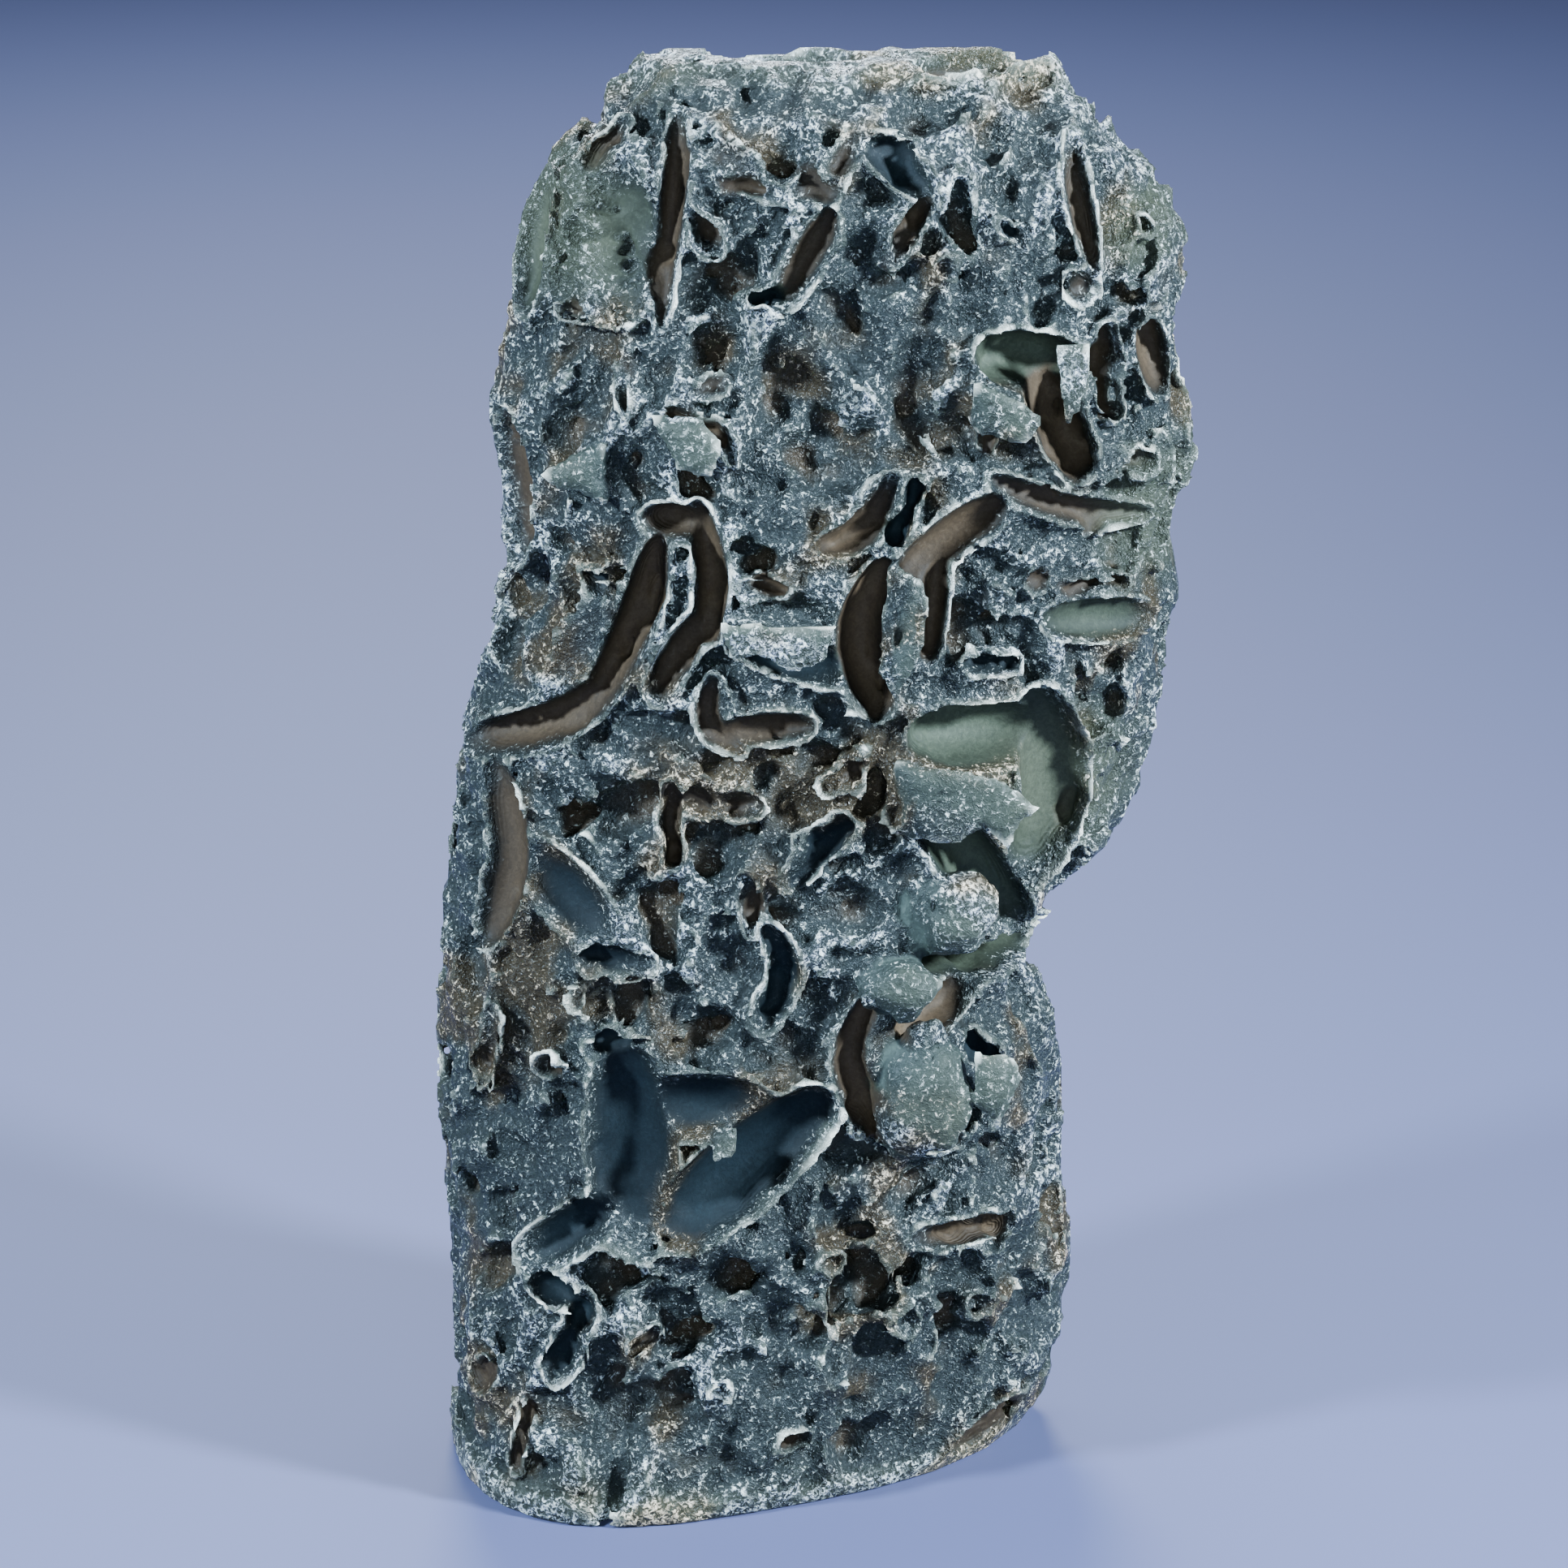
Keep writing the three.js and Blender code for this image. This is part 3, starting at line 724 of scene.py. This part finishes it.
def grain_at(at):
    """The way the etching runs at places in mm."""
    return np.stack([trilinear(part, at) for part in wander], -1) + (0.1, 0.0, 0.25)


# %% One bite
def bite(at, normal, grain, length, width, depth, lift):
    """One egg-shaped scallop. lift is the height of its middle over the skin as a share
    of its depth."""
    grain = grain - normal * (grain @ normal)
    grain = grain / max(float(np.linalg.norm(grain)), 1e-6)
    side = np.cross(grain, normal)
    thick = depth * (1 + lift)
    middle = at + normal * depth * lift
    reach = max(length, width, thick) + 2 * CELL
    block = block_around(at - reach, at + reach)
    middle = bend(middle[None])[0]
    x, y, z = (bent[i][block] - middle[i] for i in range(3))
    along = (x * grain[0] + y * grain[1] + z * grain[2]) / length
    across = (x * side[0] + y * side[1] + z * side[2]) / width
    down = (x * normal[0] + y * normal[1] + z * normal[2]) / thick
    egg = (np.sqrt(along ** 2 + across ** 2 + down ** 2) - 1) * min(width, thick)
    field[block] = np.maximum(field[block], -egg - guard[block])


# %% Rounds of bites
WALL = 0.12
LEAST_BITE = 0.16
GUARD_END = 0.16
guard = 1 - ease(calm, 0.0, GUARD_END)


def bite_skin(number, sizes, stretch, depths, lifts, share):
    """Bites the skin at random points. share says how likely a point is to be bitten."""
    at, normals, _ = skin_of(field)
    room = trilinear(calm, at)
    weight = share(at, normals) * (at[:, 2] > FOOT_FADE) * (room > WALL)
    chosen = rng.choice(len(at), number, p=weight / weight.sum())
    grains = grain_at(at)
    for i in chosen:
        width = min(rng.uniform(*sizes), LEAST_BITE + 0.7 * room[i])
        length = min(width * rng.uniform(*stretch), 2 * LEAST_BITE + room[i])
        bite(at[i], normals[i], grains[i], max(length, width), width,
             width * rng.uniform(*depths), rng.uniform(*lifts))
    print("bites:", number, "of", sizes, "mm on", len(at), "skin points")


def sides_and_back(at, normals):
    """Wide bites are rare on the front, where the hollows are listed one by one."""
    return np.where(normals[:, 1] > -0.3, 1.0, 0.15)


def mostly_front(at, normals):
    return np.where(normals[:, 1] < 0.1, 1.0, 0.5)


bite_skin(260, (1.0, 1.7), (1.0, 1.9), (0.20, 0.36), (0.6, 1.6), sides_and_back)
bite_skin(1500, (0.45, 0.85), (1.2, 2.6), (0.30, 0.45), (0.6, 1.2), mostly_front)
bite_skin(3600, (0.22, 0.45), (1.0, 2.6), (0.35, 0.6), (0.2, 0.8), mostly_front)

# %% Nibbled rims
NIBBLE_REACH = 0.32
GUARD_LEFT = 0.12


def on_rims(at, normals):
    return (trilinear(calm, at) < NIBBLE_REACH).astype(float)


guard *= GUARD_LEFT
bite_skin(500, (0.18, 0.30), (1.0, 1.6), (0.5, 0.9), (0.0, 0.4), on_rims)

# %% [markdown]
# ## Back to a mesh
#
# OpenVDB turns the block into quads. Bites can cut a crumb loose, so only the largest
# connected piece is kept. Decimate then takes triangles away where the skin is smooth and
# leaves them where it is sharp. That can push a point out by a hair, so the points are
# held inside the solid's box at the end.

# %% The largest piece
def largest_piece(count, quads):
    """Which quads belong to the piece with the most points."""
    label = np.arange(count)
    while True:
        before = label.copy()
        least = label[quads].min(axis=1)
        for corner in range(4):
            np.minimum.at(label, quads[:, corner], least)
        label = label[label]
        if np.array_equal(label, before):
            break
    names, sizes = np.unique(label, return_counts=True)
    return label[quads[:, 0]] == names[sizes.argmax()]


at, _, quads = skin_of(field)
quads = quads[largest_piece(len(at), quads)]
used, quads = np.unique(quads, return_inverse=True)
quads = quads.reshape(-1, 4)
at = at[used]
print("quads:", len(quads))


# %% Values on a mesh
def point_attribute(obj, name, values):
    layer = obj.data.attributes.new(name, "FLOAT", "POINT")
    layer.data.foreach_set("value", np.asarray(values, np.float32))
    print(name, "from", round(float(values.min()), 2), "to", round(float(values.max()), 2),
          "middle", round(float(np.median(values)), 2))


# %% The stone's mesh
def mesh_from(name, at, quads):
    mesh = bpy.data.meshes.new(name)
    mesh.vertices.add(len(at))
    mesh.vertices.foreach_set("co", (at * MM).astype(np.float32).ravel())
    mesh.loops.add(quads.size)
    mesh.loops.foreach_set("vertex_index", quads.astype(np.int32).ravel())
    mesh.polygons.add(len(quads))
    mesh.polygons.foreach_set("loop_start", np.arange(0, quads.size, 4, dtype=np.int32))
    mesh.update(calc_edges=True)
    mesh.validate()
    return mesh


def hold_in(mesh, least, most):
    """Moves points that lie outside a box, in mm, onto its sides."""
    at = np.empty(len(mesh.vertices) * 3, np.float32)
    mesh.vertices.foreach_get("co", at)
    at = np.clip(at.reshape(-1, 3), least * MM, most * MM)
    mesh.vertices.foreach_set("co", at.astype(np.float32).ravel())
    mesh.update()


TRIANGLE_LIMIT = 197000
EDGE = 0.02

stone = bpy.data.objects.new("etched_stone", mesh_from("etched_stone", at, quads))
bpy.context.scene.collection.objects.link(stone)
thin = stone.modifiers.new("fewer triangles", "DECIMATE")
thin.ratio = min(1.0, TRIANGLE_LIMIT / (2 * len(quads)))
deps = bpy.context.evaluated_depsgraph_get()
stone.data = bpy.data.meshes.new_from_object(stone.evaluated_get(deps))
stone.modifiers.clear()
hold_in(stone.data, low + (EDGE, EDGE, 0), high - EDGE)
stone.data.shade_smooth()
print("triangles:", sum(len(face.vertices) - 2 for face in stone.data.polygons))

# %% [markdown]
# ## What the glass knows about itself
#
# The colours follow the form: rims that are thin are painted pale, as painted light that
# thin glass would let through, deep hollows hold brown, and the walls of the large hollows
# are smooth. Blurring the glass over half a millimetre and over a millimetre and a half
# tells how much glass is near a point. Little glass is a rim, and much is a pit.

# %% Measuring how much glass is near
STRIDE = 3
NEAR_PASSES, WIDE_PASSES, BROAD_PASSES = 4, 8, 24

glass_share = np.clip(0.5 - field / CELL, 0, 1).astype(np.float32)
near = blurred(glass_share, NEAR_PASSES)
wide = blurred(near[::STRIDE, ::STRIDE, ::STRIDE], WIDE_PASSES)
broad = blurred(wide, BROAD_PASSES)
stone_points = mesh_arrays(stone)[0]
near_here = trilinear(near, stone_points)
wide_here = trilinear(wide, stone_points, CELL * STRIDE)
bulk_here = trilinear(broad, stone_points, CELL * STRIDE)
wall_here = trilinear(calm, stone_points)

# %% Masks on the mesh
def noise_here(grain):
    """Soft noise from 0 to 1 at the points of the mesh."""
    return 0.5 + 0.5 * trilinear(soft_noise(grain), stone_points)


# Places where the glass is thin and light shines through: painted lighter olive, as painted
# light, with fewer painted glints.
LIT_THROUGH_PLACES = [((-7.6, 40.2), 3.0), ((10.4, 31.4), 2.9), ((7.6, 23.2), 3.2), ((9.6, 40.0), 1.6)]
# Places low on the front and on the left where light falls off: fewer glints are painted there,
# as painted shade.
SHADED_PLACES = [((-8.0, 13.5), 7.0), ((-3.0, 11.0), 6.0), ((-9.5, 20.5), 3.5), ((3.0, 5.5), 6.5),
               ((-7.0, 28.5), 2.5)]


def ranked(values, among, start, end):
    """0 below one share of the values among the chosen points, 1 over another."""
    return ease(values, *np.quantile(values[among], (start, end)))


def in_places(at, places):
    """1 in the middle of each place, seen from the front, and 0 outside them all."""
    found = [1 - ease(np.hypot(at[:, 0] - x, at[:, 2] - z), 0.35 * size, size)
             for (x, z), size in places]
    return np.max(found, axis=0)


PATCHES, FROSTED_PATCHES, WARM_PATCHES = (0.45, 0.66), (0.3, 0.62), (0.52, 0.62)
RIM_GLASS, LIP_GLASS, EDGING_GLASS = (0.15, 0.27), (0.25, 0.36), (0.30, 0.42)
THIN_BULK = (0.20, 0.34)
RAISED_SHARES, CREST_SHARES = (0.15, 0.90), (0.88, 0.99)
LESS_IN_SHADE, LESS_LIT_THROUGH, LESS_EDGING = 0.75, 0.75, 0.6

tint_here = trilinear(tint, stone_points)
pale_here = ease(tint_here, 1.1, 1.4)
bare = ease(wide_here + 0.12 * noise_here(0.8), 0.42, 0.58)
smooth = (1 - ease(wall_here, 0.03, 0.18)) * np.maximum(bare, 0.55 * pale_here)
relief = 0.4 * (wide_here - near_here) - wide_here
etched_skin = wall_here > WALL
patchy = ease(0.7 * noise_here(1.6) + 0.3 * noise_here(0.6), *PATCHES)
edging = (1 - ease(near_here, *EDGING_GLASS)) * (1 - patchy)
# Painted shade: fewer painted glints where light falls off.
shaded = in_places(stone_points, SHADED_PLACES)
# clear: painted light shining through thin glass.
clear = in_places(stone_points, LIT_THROUGH_PLACES)
frosted = ease(0.6 * noise_here(4.5) + 0.4 * noise_here(1.6), *FROSTED_PATCHES)
frosted *= (1 - LESS_IN_SHADE * shaded) * (1 - LESS_LIT_THROUGH * clear) * (1 - LESS_EDGING * edging)
# raised, crest and frosted set how many glints are painted in: more painted highlights on raised
# skin and crests, where light would catch, and in frosted patches.
raised = ranked(relief, etched_skin, *RAISED_SHARES)
crest = ranked(relief, etched_skin, *CREST_SHARES) * (1 - smooth) * patchy
# rim: thin rims painted pale, painted light that thin glass edges let through and catch.
rim = (1 - ease(near_here, *RIM_GLASS)) * np.maximum(0.04 + 0.96 * patchy, pale_here)
# lip: a band beside the thin rims painted lighter teal, painted light shining through thin
# glass.
lip = (1 - ease(near_here, *LIP_GLASS)) * (0.3 + 0.7 * patchy)
# Where there is little glass near, the same painted light shining through.
clear = np.maximum(clear, 0.6 * (1 - ease(bulk_here, *THIN_BULK)))
warm = ease(0.6 * noise_here(3.2) + 0.4 * noise_here(1.1), *WARM_PATCHES)
level = wide_here + 0.04 * noise_here(1.5)
amount = (0.20 + 0.65 * ease(raised, 0, 1)) * (0.40 + 0.60 * ease(frosted, 0, 1)) + 0.35 * crest
amount *= 0.06 + 0.94 * ease(1 - smooth, 0, 1)
masks = {"smooth": smooth, "amount": amount, "rim": rim, "warm": warm, "level": level,
         "stepped": ease(noise_here(4.0), 0.5, 0.7) * smooth}
for name, values in masks.items():
    point_attribute(stone, name, values)

# %% [markdown]
# ## Colours that follow the form
#
# The colour under the frost is worked out once at every point of the mesh, which keeps
# the shader short and quick: dark teal and brown skin, tinted walls with painted light
# that makes them lighter where a hollow is deep, against the shade that falls there, a
# lighter olive where the glass is thin and clear, painted light shining through it, and a
# teal band of the same painted light beside the thin rims. It is stored as three plain
# values.

# %% Colours on the mesh
SKIN_TEAL = (0.020, 0.029, 0.032)
SKIN_BROWN = (0.034, 0.030, 0.020)
PIT_BROWN = (0.060, 0.050, 0.036)
# Light teal of the band beside thin rims: painted light shining through thin glass.
LIT_THROUGH_LIP_TEAL = (0.10, 0.13, 0.115)
WALL_BROWN = (0.028, 0.021, 0.013)
WALL_OLIVE = (0.020, 0.028, 0.020)
WALL_NAVY = (0.003, 0.007, 0.010)
PALE_TEAL = (0.045, 0.070, 0.066)
LIT_THROUGH_OLIVE = (0.062, 0.078, 0.054)
SHALLOW_PAINTED_FILL, DEEP_PAINTED_FILL = 0.8, 3.0
LIT_THROUGH_SHARE = 0.6


def mixed(first, second, share):
    """One colour turned into another, by a share at each point."""
    return first + (np.array(second) - first) * share[:, None]


walls = mixed(np.array([WALL_BROWN]), WALL_OLIVE, ease(tint_here, 0.0, 0.5))
walls = mixed(walls, WALL_NAVY, ease(tint_here, 0.5, 1.0))
walls = mixed(walls, PALE_TEAL, ease(tint_here, 1.0, 1.5))
# Painted light: walls darker where shallow and up to three times lighter where deep, against the
# shade that falls in deep hollows.
walls *= SHALLOW_PAINTED_FILL + (DEEP_PAINTED_FILL - SHALLOW_PAINTED_FILL) * ease(level, 0.45, 0.85)[:, None]
ground = mixed(np.array([SKIN_TEAL]), SKIN_BROWN, warm)
ground = mixed(ground, PIT_BROWN, ease(level, 0.62, 0.80))
ground = mixed(ground, walls, smooth)
# Olive is the glass's own colour; painting it lighter here is painted light shining through thin
# glass.
ground = mixed(ground, LIT_THROUGH_OLIVE, LIT_THROUGH_SHARE * clear)
# The band beside thin rims: painted light.
ground = mixed(ground, LIT_THROUGH_LIP_TEAL, lip)
for name, values in zip(("red", "green", "blue"), ground.T):
    point_attribute(stone, name, values)

# %% [markdown]
# ## Effects as node groups
#
# Each effect is a small group of shader nodes that only gives masks and heights, so that
# the glass itself can be read at a glance.

# %% Helpers for nodes
def group_of(name, inputs, outputs):
    """An empty shader node group with named sockets. Returns it and its two ends."""
    group = bpy.data.node_groups.new(name, "ShaderNodeTree")
    for label, value in inputs.items():
        socket = group.interface.new_socket(label, in_out="INPUT", socket_type="NodeSocketFloat")
        socket.default_value = value
    for label in outputs:
        group.interface.new_socket(label, in_out="OUTPUT", socket_type="NodeSocketFloat")
    start = group.nodes.new("NodeGroupInput")
    end = group.nodes.new("NodeGroupOutput")
    return group, start, end


def math_node(tree, operation, first, second=None):
    node = tree.nodes.new("ShaderNodeMath")
    node.operation = operation
    for socket, value in zip(node.inputs, (first, second)):
        if value is None:
            continue
        if isinstance(value, bpy.types.NodeSocket):
            tree.links.new(value, socket)
        else:
            socket.default_value = value
    return node.outputs[0]


def attribute(tree, name):
    node = tree.nodes.new("ShaderNodeAttribute")
    node.attribute_name = name
    return node.outputs["Fac"]


def ramp_between(tree, value, start, end, low=0.0, high=1.0):
    """Maps start to low and end to high, smoothly, with nothing outside."""
    node = tree.nodes.new("ShaderNodeMapRange")
    node.interpolation_type = "SMOOTHSTEP"
    node.inputs["From Min"].default_value = start
    node.inputs["From Max"].default_value = end
    node.inputs["To Min"].default_value = low
    node.inputs["To Max"].default_value = high
    tree.links.new(value, node.inputs["Value"])
    return node.outputs["Result"]


def mix_colour(tree, share, first, second):
    node = tree.nodes.new("ShaderNodeMix")
    node.data_type = "RGBA"
    tree.links.new(share, node.inputs["Factor"])
    for socket, value in ((node.inputs[6], first), (node.inputs[7], second)):
        if isinstance(value, bpy.types.NodeSocket):
            tree.links.new(value, socket)
        else:
            socket.default_value = (*value, 1)
    return node.outputs[2]


def scaled_colour(tree, colour, share):
    node = tree.nodes.new("ShaderNodeVectorMath")
    node.operation = "SCALE"
    tree.links.new(colour, node.inputs[0])
    tree.links.new(share, node.inputs["Scale"])
    return node.outputs["Vector"]


def noise_node(tree, where, scale, detail, roughness=0.5, distortion=0.0):
    node = tree.nodes.new("ShaderNodeTexNoise")
    tree.links.new(where, node.inputs["Vector"])
    node.inputs["Scale"].default_value = scale
    node.inputs["Detail"].default_value = detail
    node.inputs["Roughness"].default_value = roughness
    node.inputs["Distortion"].default_value = distortion
    return node.outputs["Fac"]


# %% Frost
CRYSTAL_SCALE = 6400
TWINKLE_SCALE = 3300


def make_frost():
    """Sugary crystals of etched glass: a height, and pale dots painted in as glints:
    painted highlights where light would catch the crystals.
    """
    group, start, end = group_of("frost", {"Amount": 1.0, "Bump": 1.0},
                                 ("Height", "Glints", "Grain"))
    where = group.nodes.new("ShaderNodeTexCoord").outputs["Object"]
    crystals = noise_node(group, where, CRYSTAL_SCALE, 2, 0.8, 0.6)
    twinkle = noise_node(group, where, TWINKLE_SCALE, 0)
    height = math_node(group, "MULTIPLY", crystals, start.outputs["Bump"])
    group.links.new(height, end.inputs["Height"])
    # Pale dots painted in as glints, which are painted highlights: more of them where Amount is
    # high, brighter where the twinkle is.
    level = ramp_between(group, start.outputs["Amount"], 0.0, 1.0, 0.58, 0.42)
    above = math_node(group, "SUBTRACT", crystals, level)
    bright = ramp_between(group, twinkle, 0.35, 0.62, 0.2, 1.0)
    bright = math_node(group, "MULTIPLY", bright,
                       ramp_between(group, start.outputs["Amount"], 0.0, 0.12))
    group.links.new(math_node(group, "MULTIPLY", ramp_between(group, above, 0.0, 0.20), bright),
                    end.inputs["Glints"])
    group.links.new(crystals, end.inputs["Grain"])
    return group


frost = make_frost()

# %% Terraces
TERRACE_RATE = 170.0


def make_terraces():
    """Fine steps that run round a hollow's wall, level with its rim."""
    group, start, end = group_of("terraces", {"Level": 0.5, "Amount": 1.0}, ("Height",))
    turns = math_node(group, "MULTIPLY", start.outputs["Level"], TERRACE_RATE)
    step = math_node(group, "SINE", turns)
    group.links.new(math_node(group, "MULTIPLY", step, start.outputs["Amount"]),
                    end.inputs["Height"])
    return group


terraces = make_terraces()

# %% [markdown]
# ## The glass
#
# One Principled shader makes all of it. It is green glass that takes up light on its way
# through, and the etching lies on it as half a share of plain colour. Frost and terraces
# give the fine relief. Pale dots painted in as glints, and thin rims painted pale as light
# through their edges, are painted highlights that stand out of the dark ground. The weak,
# tinted reflection keeps a grey sheen off the hollows.

# %% Material
# Colours of the pale dots painted in as glints, which are painted highlights; cream in the warm
# patches.
GLINT_LILAC = (0.46, 0.56, 0.86)
GLINT_ICE = (0.72, 0.88, 0.88)
GLINT_CREAM = (0.84, 0.76, 0.58)
# The pale of the thin rims is painted light.
RIM_PAINTED_LIGHT = (0.88, 1.0, 0.93)
GLASS = {"IOR": 1.49, "Transmission Weight": 0.5, "Specular IOR Level": 0.15,
         "Specular Tint": (0.25, 0.32, 0.38, 1)}
ABSORPTION_COLOUR = (0.45, 0.60, 0.40, 1)
ABSORPTION_PER_METRE = 250.0
RELIEF = 0.16
TERRACE_HEIGHT = 0.06


def moldavite_glass():
    glass = bpy.data.materials.new("moldavite glass")
    glass.use_nodes = True
    tree = glass.node_tree
    skin = tree.nodes["Principled BSDF"]
    smooth, amount, rim, warm, level, stepped = (
        attribute(tree, name) for name in
        ("smooth", "amount", "rim", "warm", "level", "stepped"))

    etched = tree.nodes.new("ShaderNodeGroup")
    etched.node_tree = frost
    # The glint amount sets how many pale dots are painted in as glints.
    tree.links.new(amount, etched.inputs["Amount"])
    tree.links.new(ramp_between(tree, smooth, 0.0, 1.0, 1.0, 0.08), etched.inputs["Bump"])
    steps = tree.nodes.new("ShaderNodeGroup")
    steps.node_tree = terraces
    tree.links.new(level, steps.inputs["Level"])
    tree.links.new(stepped, steps.inputs["Amount"])

    grain = ramp_between(tree, etched.outputs["Grain"], 0.25, 0.75, 0.75, 1.25)
    ground = tree.nodes.new("ShaderNodeCombineXYZ")
    for axis, name in zip("XYZ", ("red", "green", "blue")):
        tree.links.new(attribute(tree, name), ground.inputs[axis])
    base = scaled_colour(tree, ground.outputs["Vector"], grain)
    # Pale dots painted into the colour as glints: painted highlights of lilac and ice, cream in
    # the warm patches.
    glints = mix_colour(tree, ramp_between(tree, etched.outputs["Grain"], 0.45, 0.62),
                        GLINT_LILAC, GLINT_ICE)
    glints = mix_colour(tree, warm, glints, GLINT_CREAM)
    base = mix_colour(tree, etched.outputs["Glints"], base, glints)
    # Thin rims painted pale: painted light.
    base = mix_colour(tree, rim, base, RIM_PAINTED_LIGHT)
    tree.links.new(base, skin.inputs["Base Color"])
    tree.links.new(ramp_between(tree, smooth, 0.0, 1.0, 0.26, 0.68), skin.inputs["Roughness"])
    for name, value in GLASS.items():
        skin.inputs[name].default_value = value

    bump = tree.nodes.new("ShaderNodeBump")
    bump.inputs["Strength"].default_value = 1.0
    bump.inputs["Distance"].default_value = RELIEF * MM
    height = math_node(tree, "ADD", etched.outputs["Height"],
                       math_node(tree, "MULTIPLY", steps.outputs["Height"], TERRACE_HEIGHT))
    tree.links.new(height, bump.inputs["Height"])
    tree.links.new(bump.outputs["Normal"], skin.inputs["Normal"])

    absorb = tree.nodes.new("ShaderNodeVolumeAbsorption")
    absorb.inputs["Color"].default_value = ABSORPTION_COLOUR
    absorb.inputs["Density"].default_value = ABSORPTION_PER_METRE
    tree.links.new(absorb.outputs["Volume"], tree.nodes["Material Output"].inputs["Volume"])
    return glass


stone.data.materials.append(moldavite_glass())
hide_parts(STONE)
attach(stone, "root")
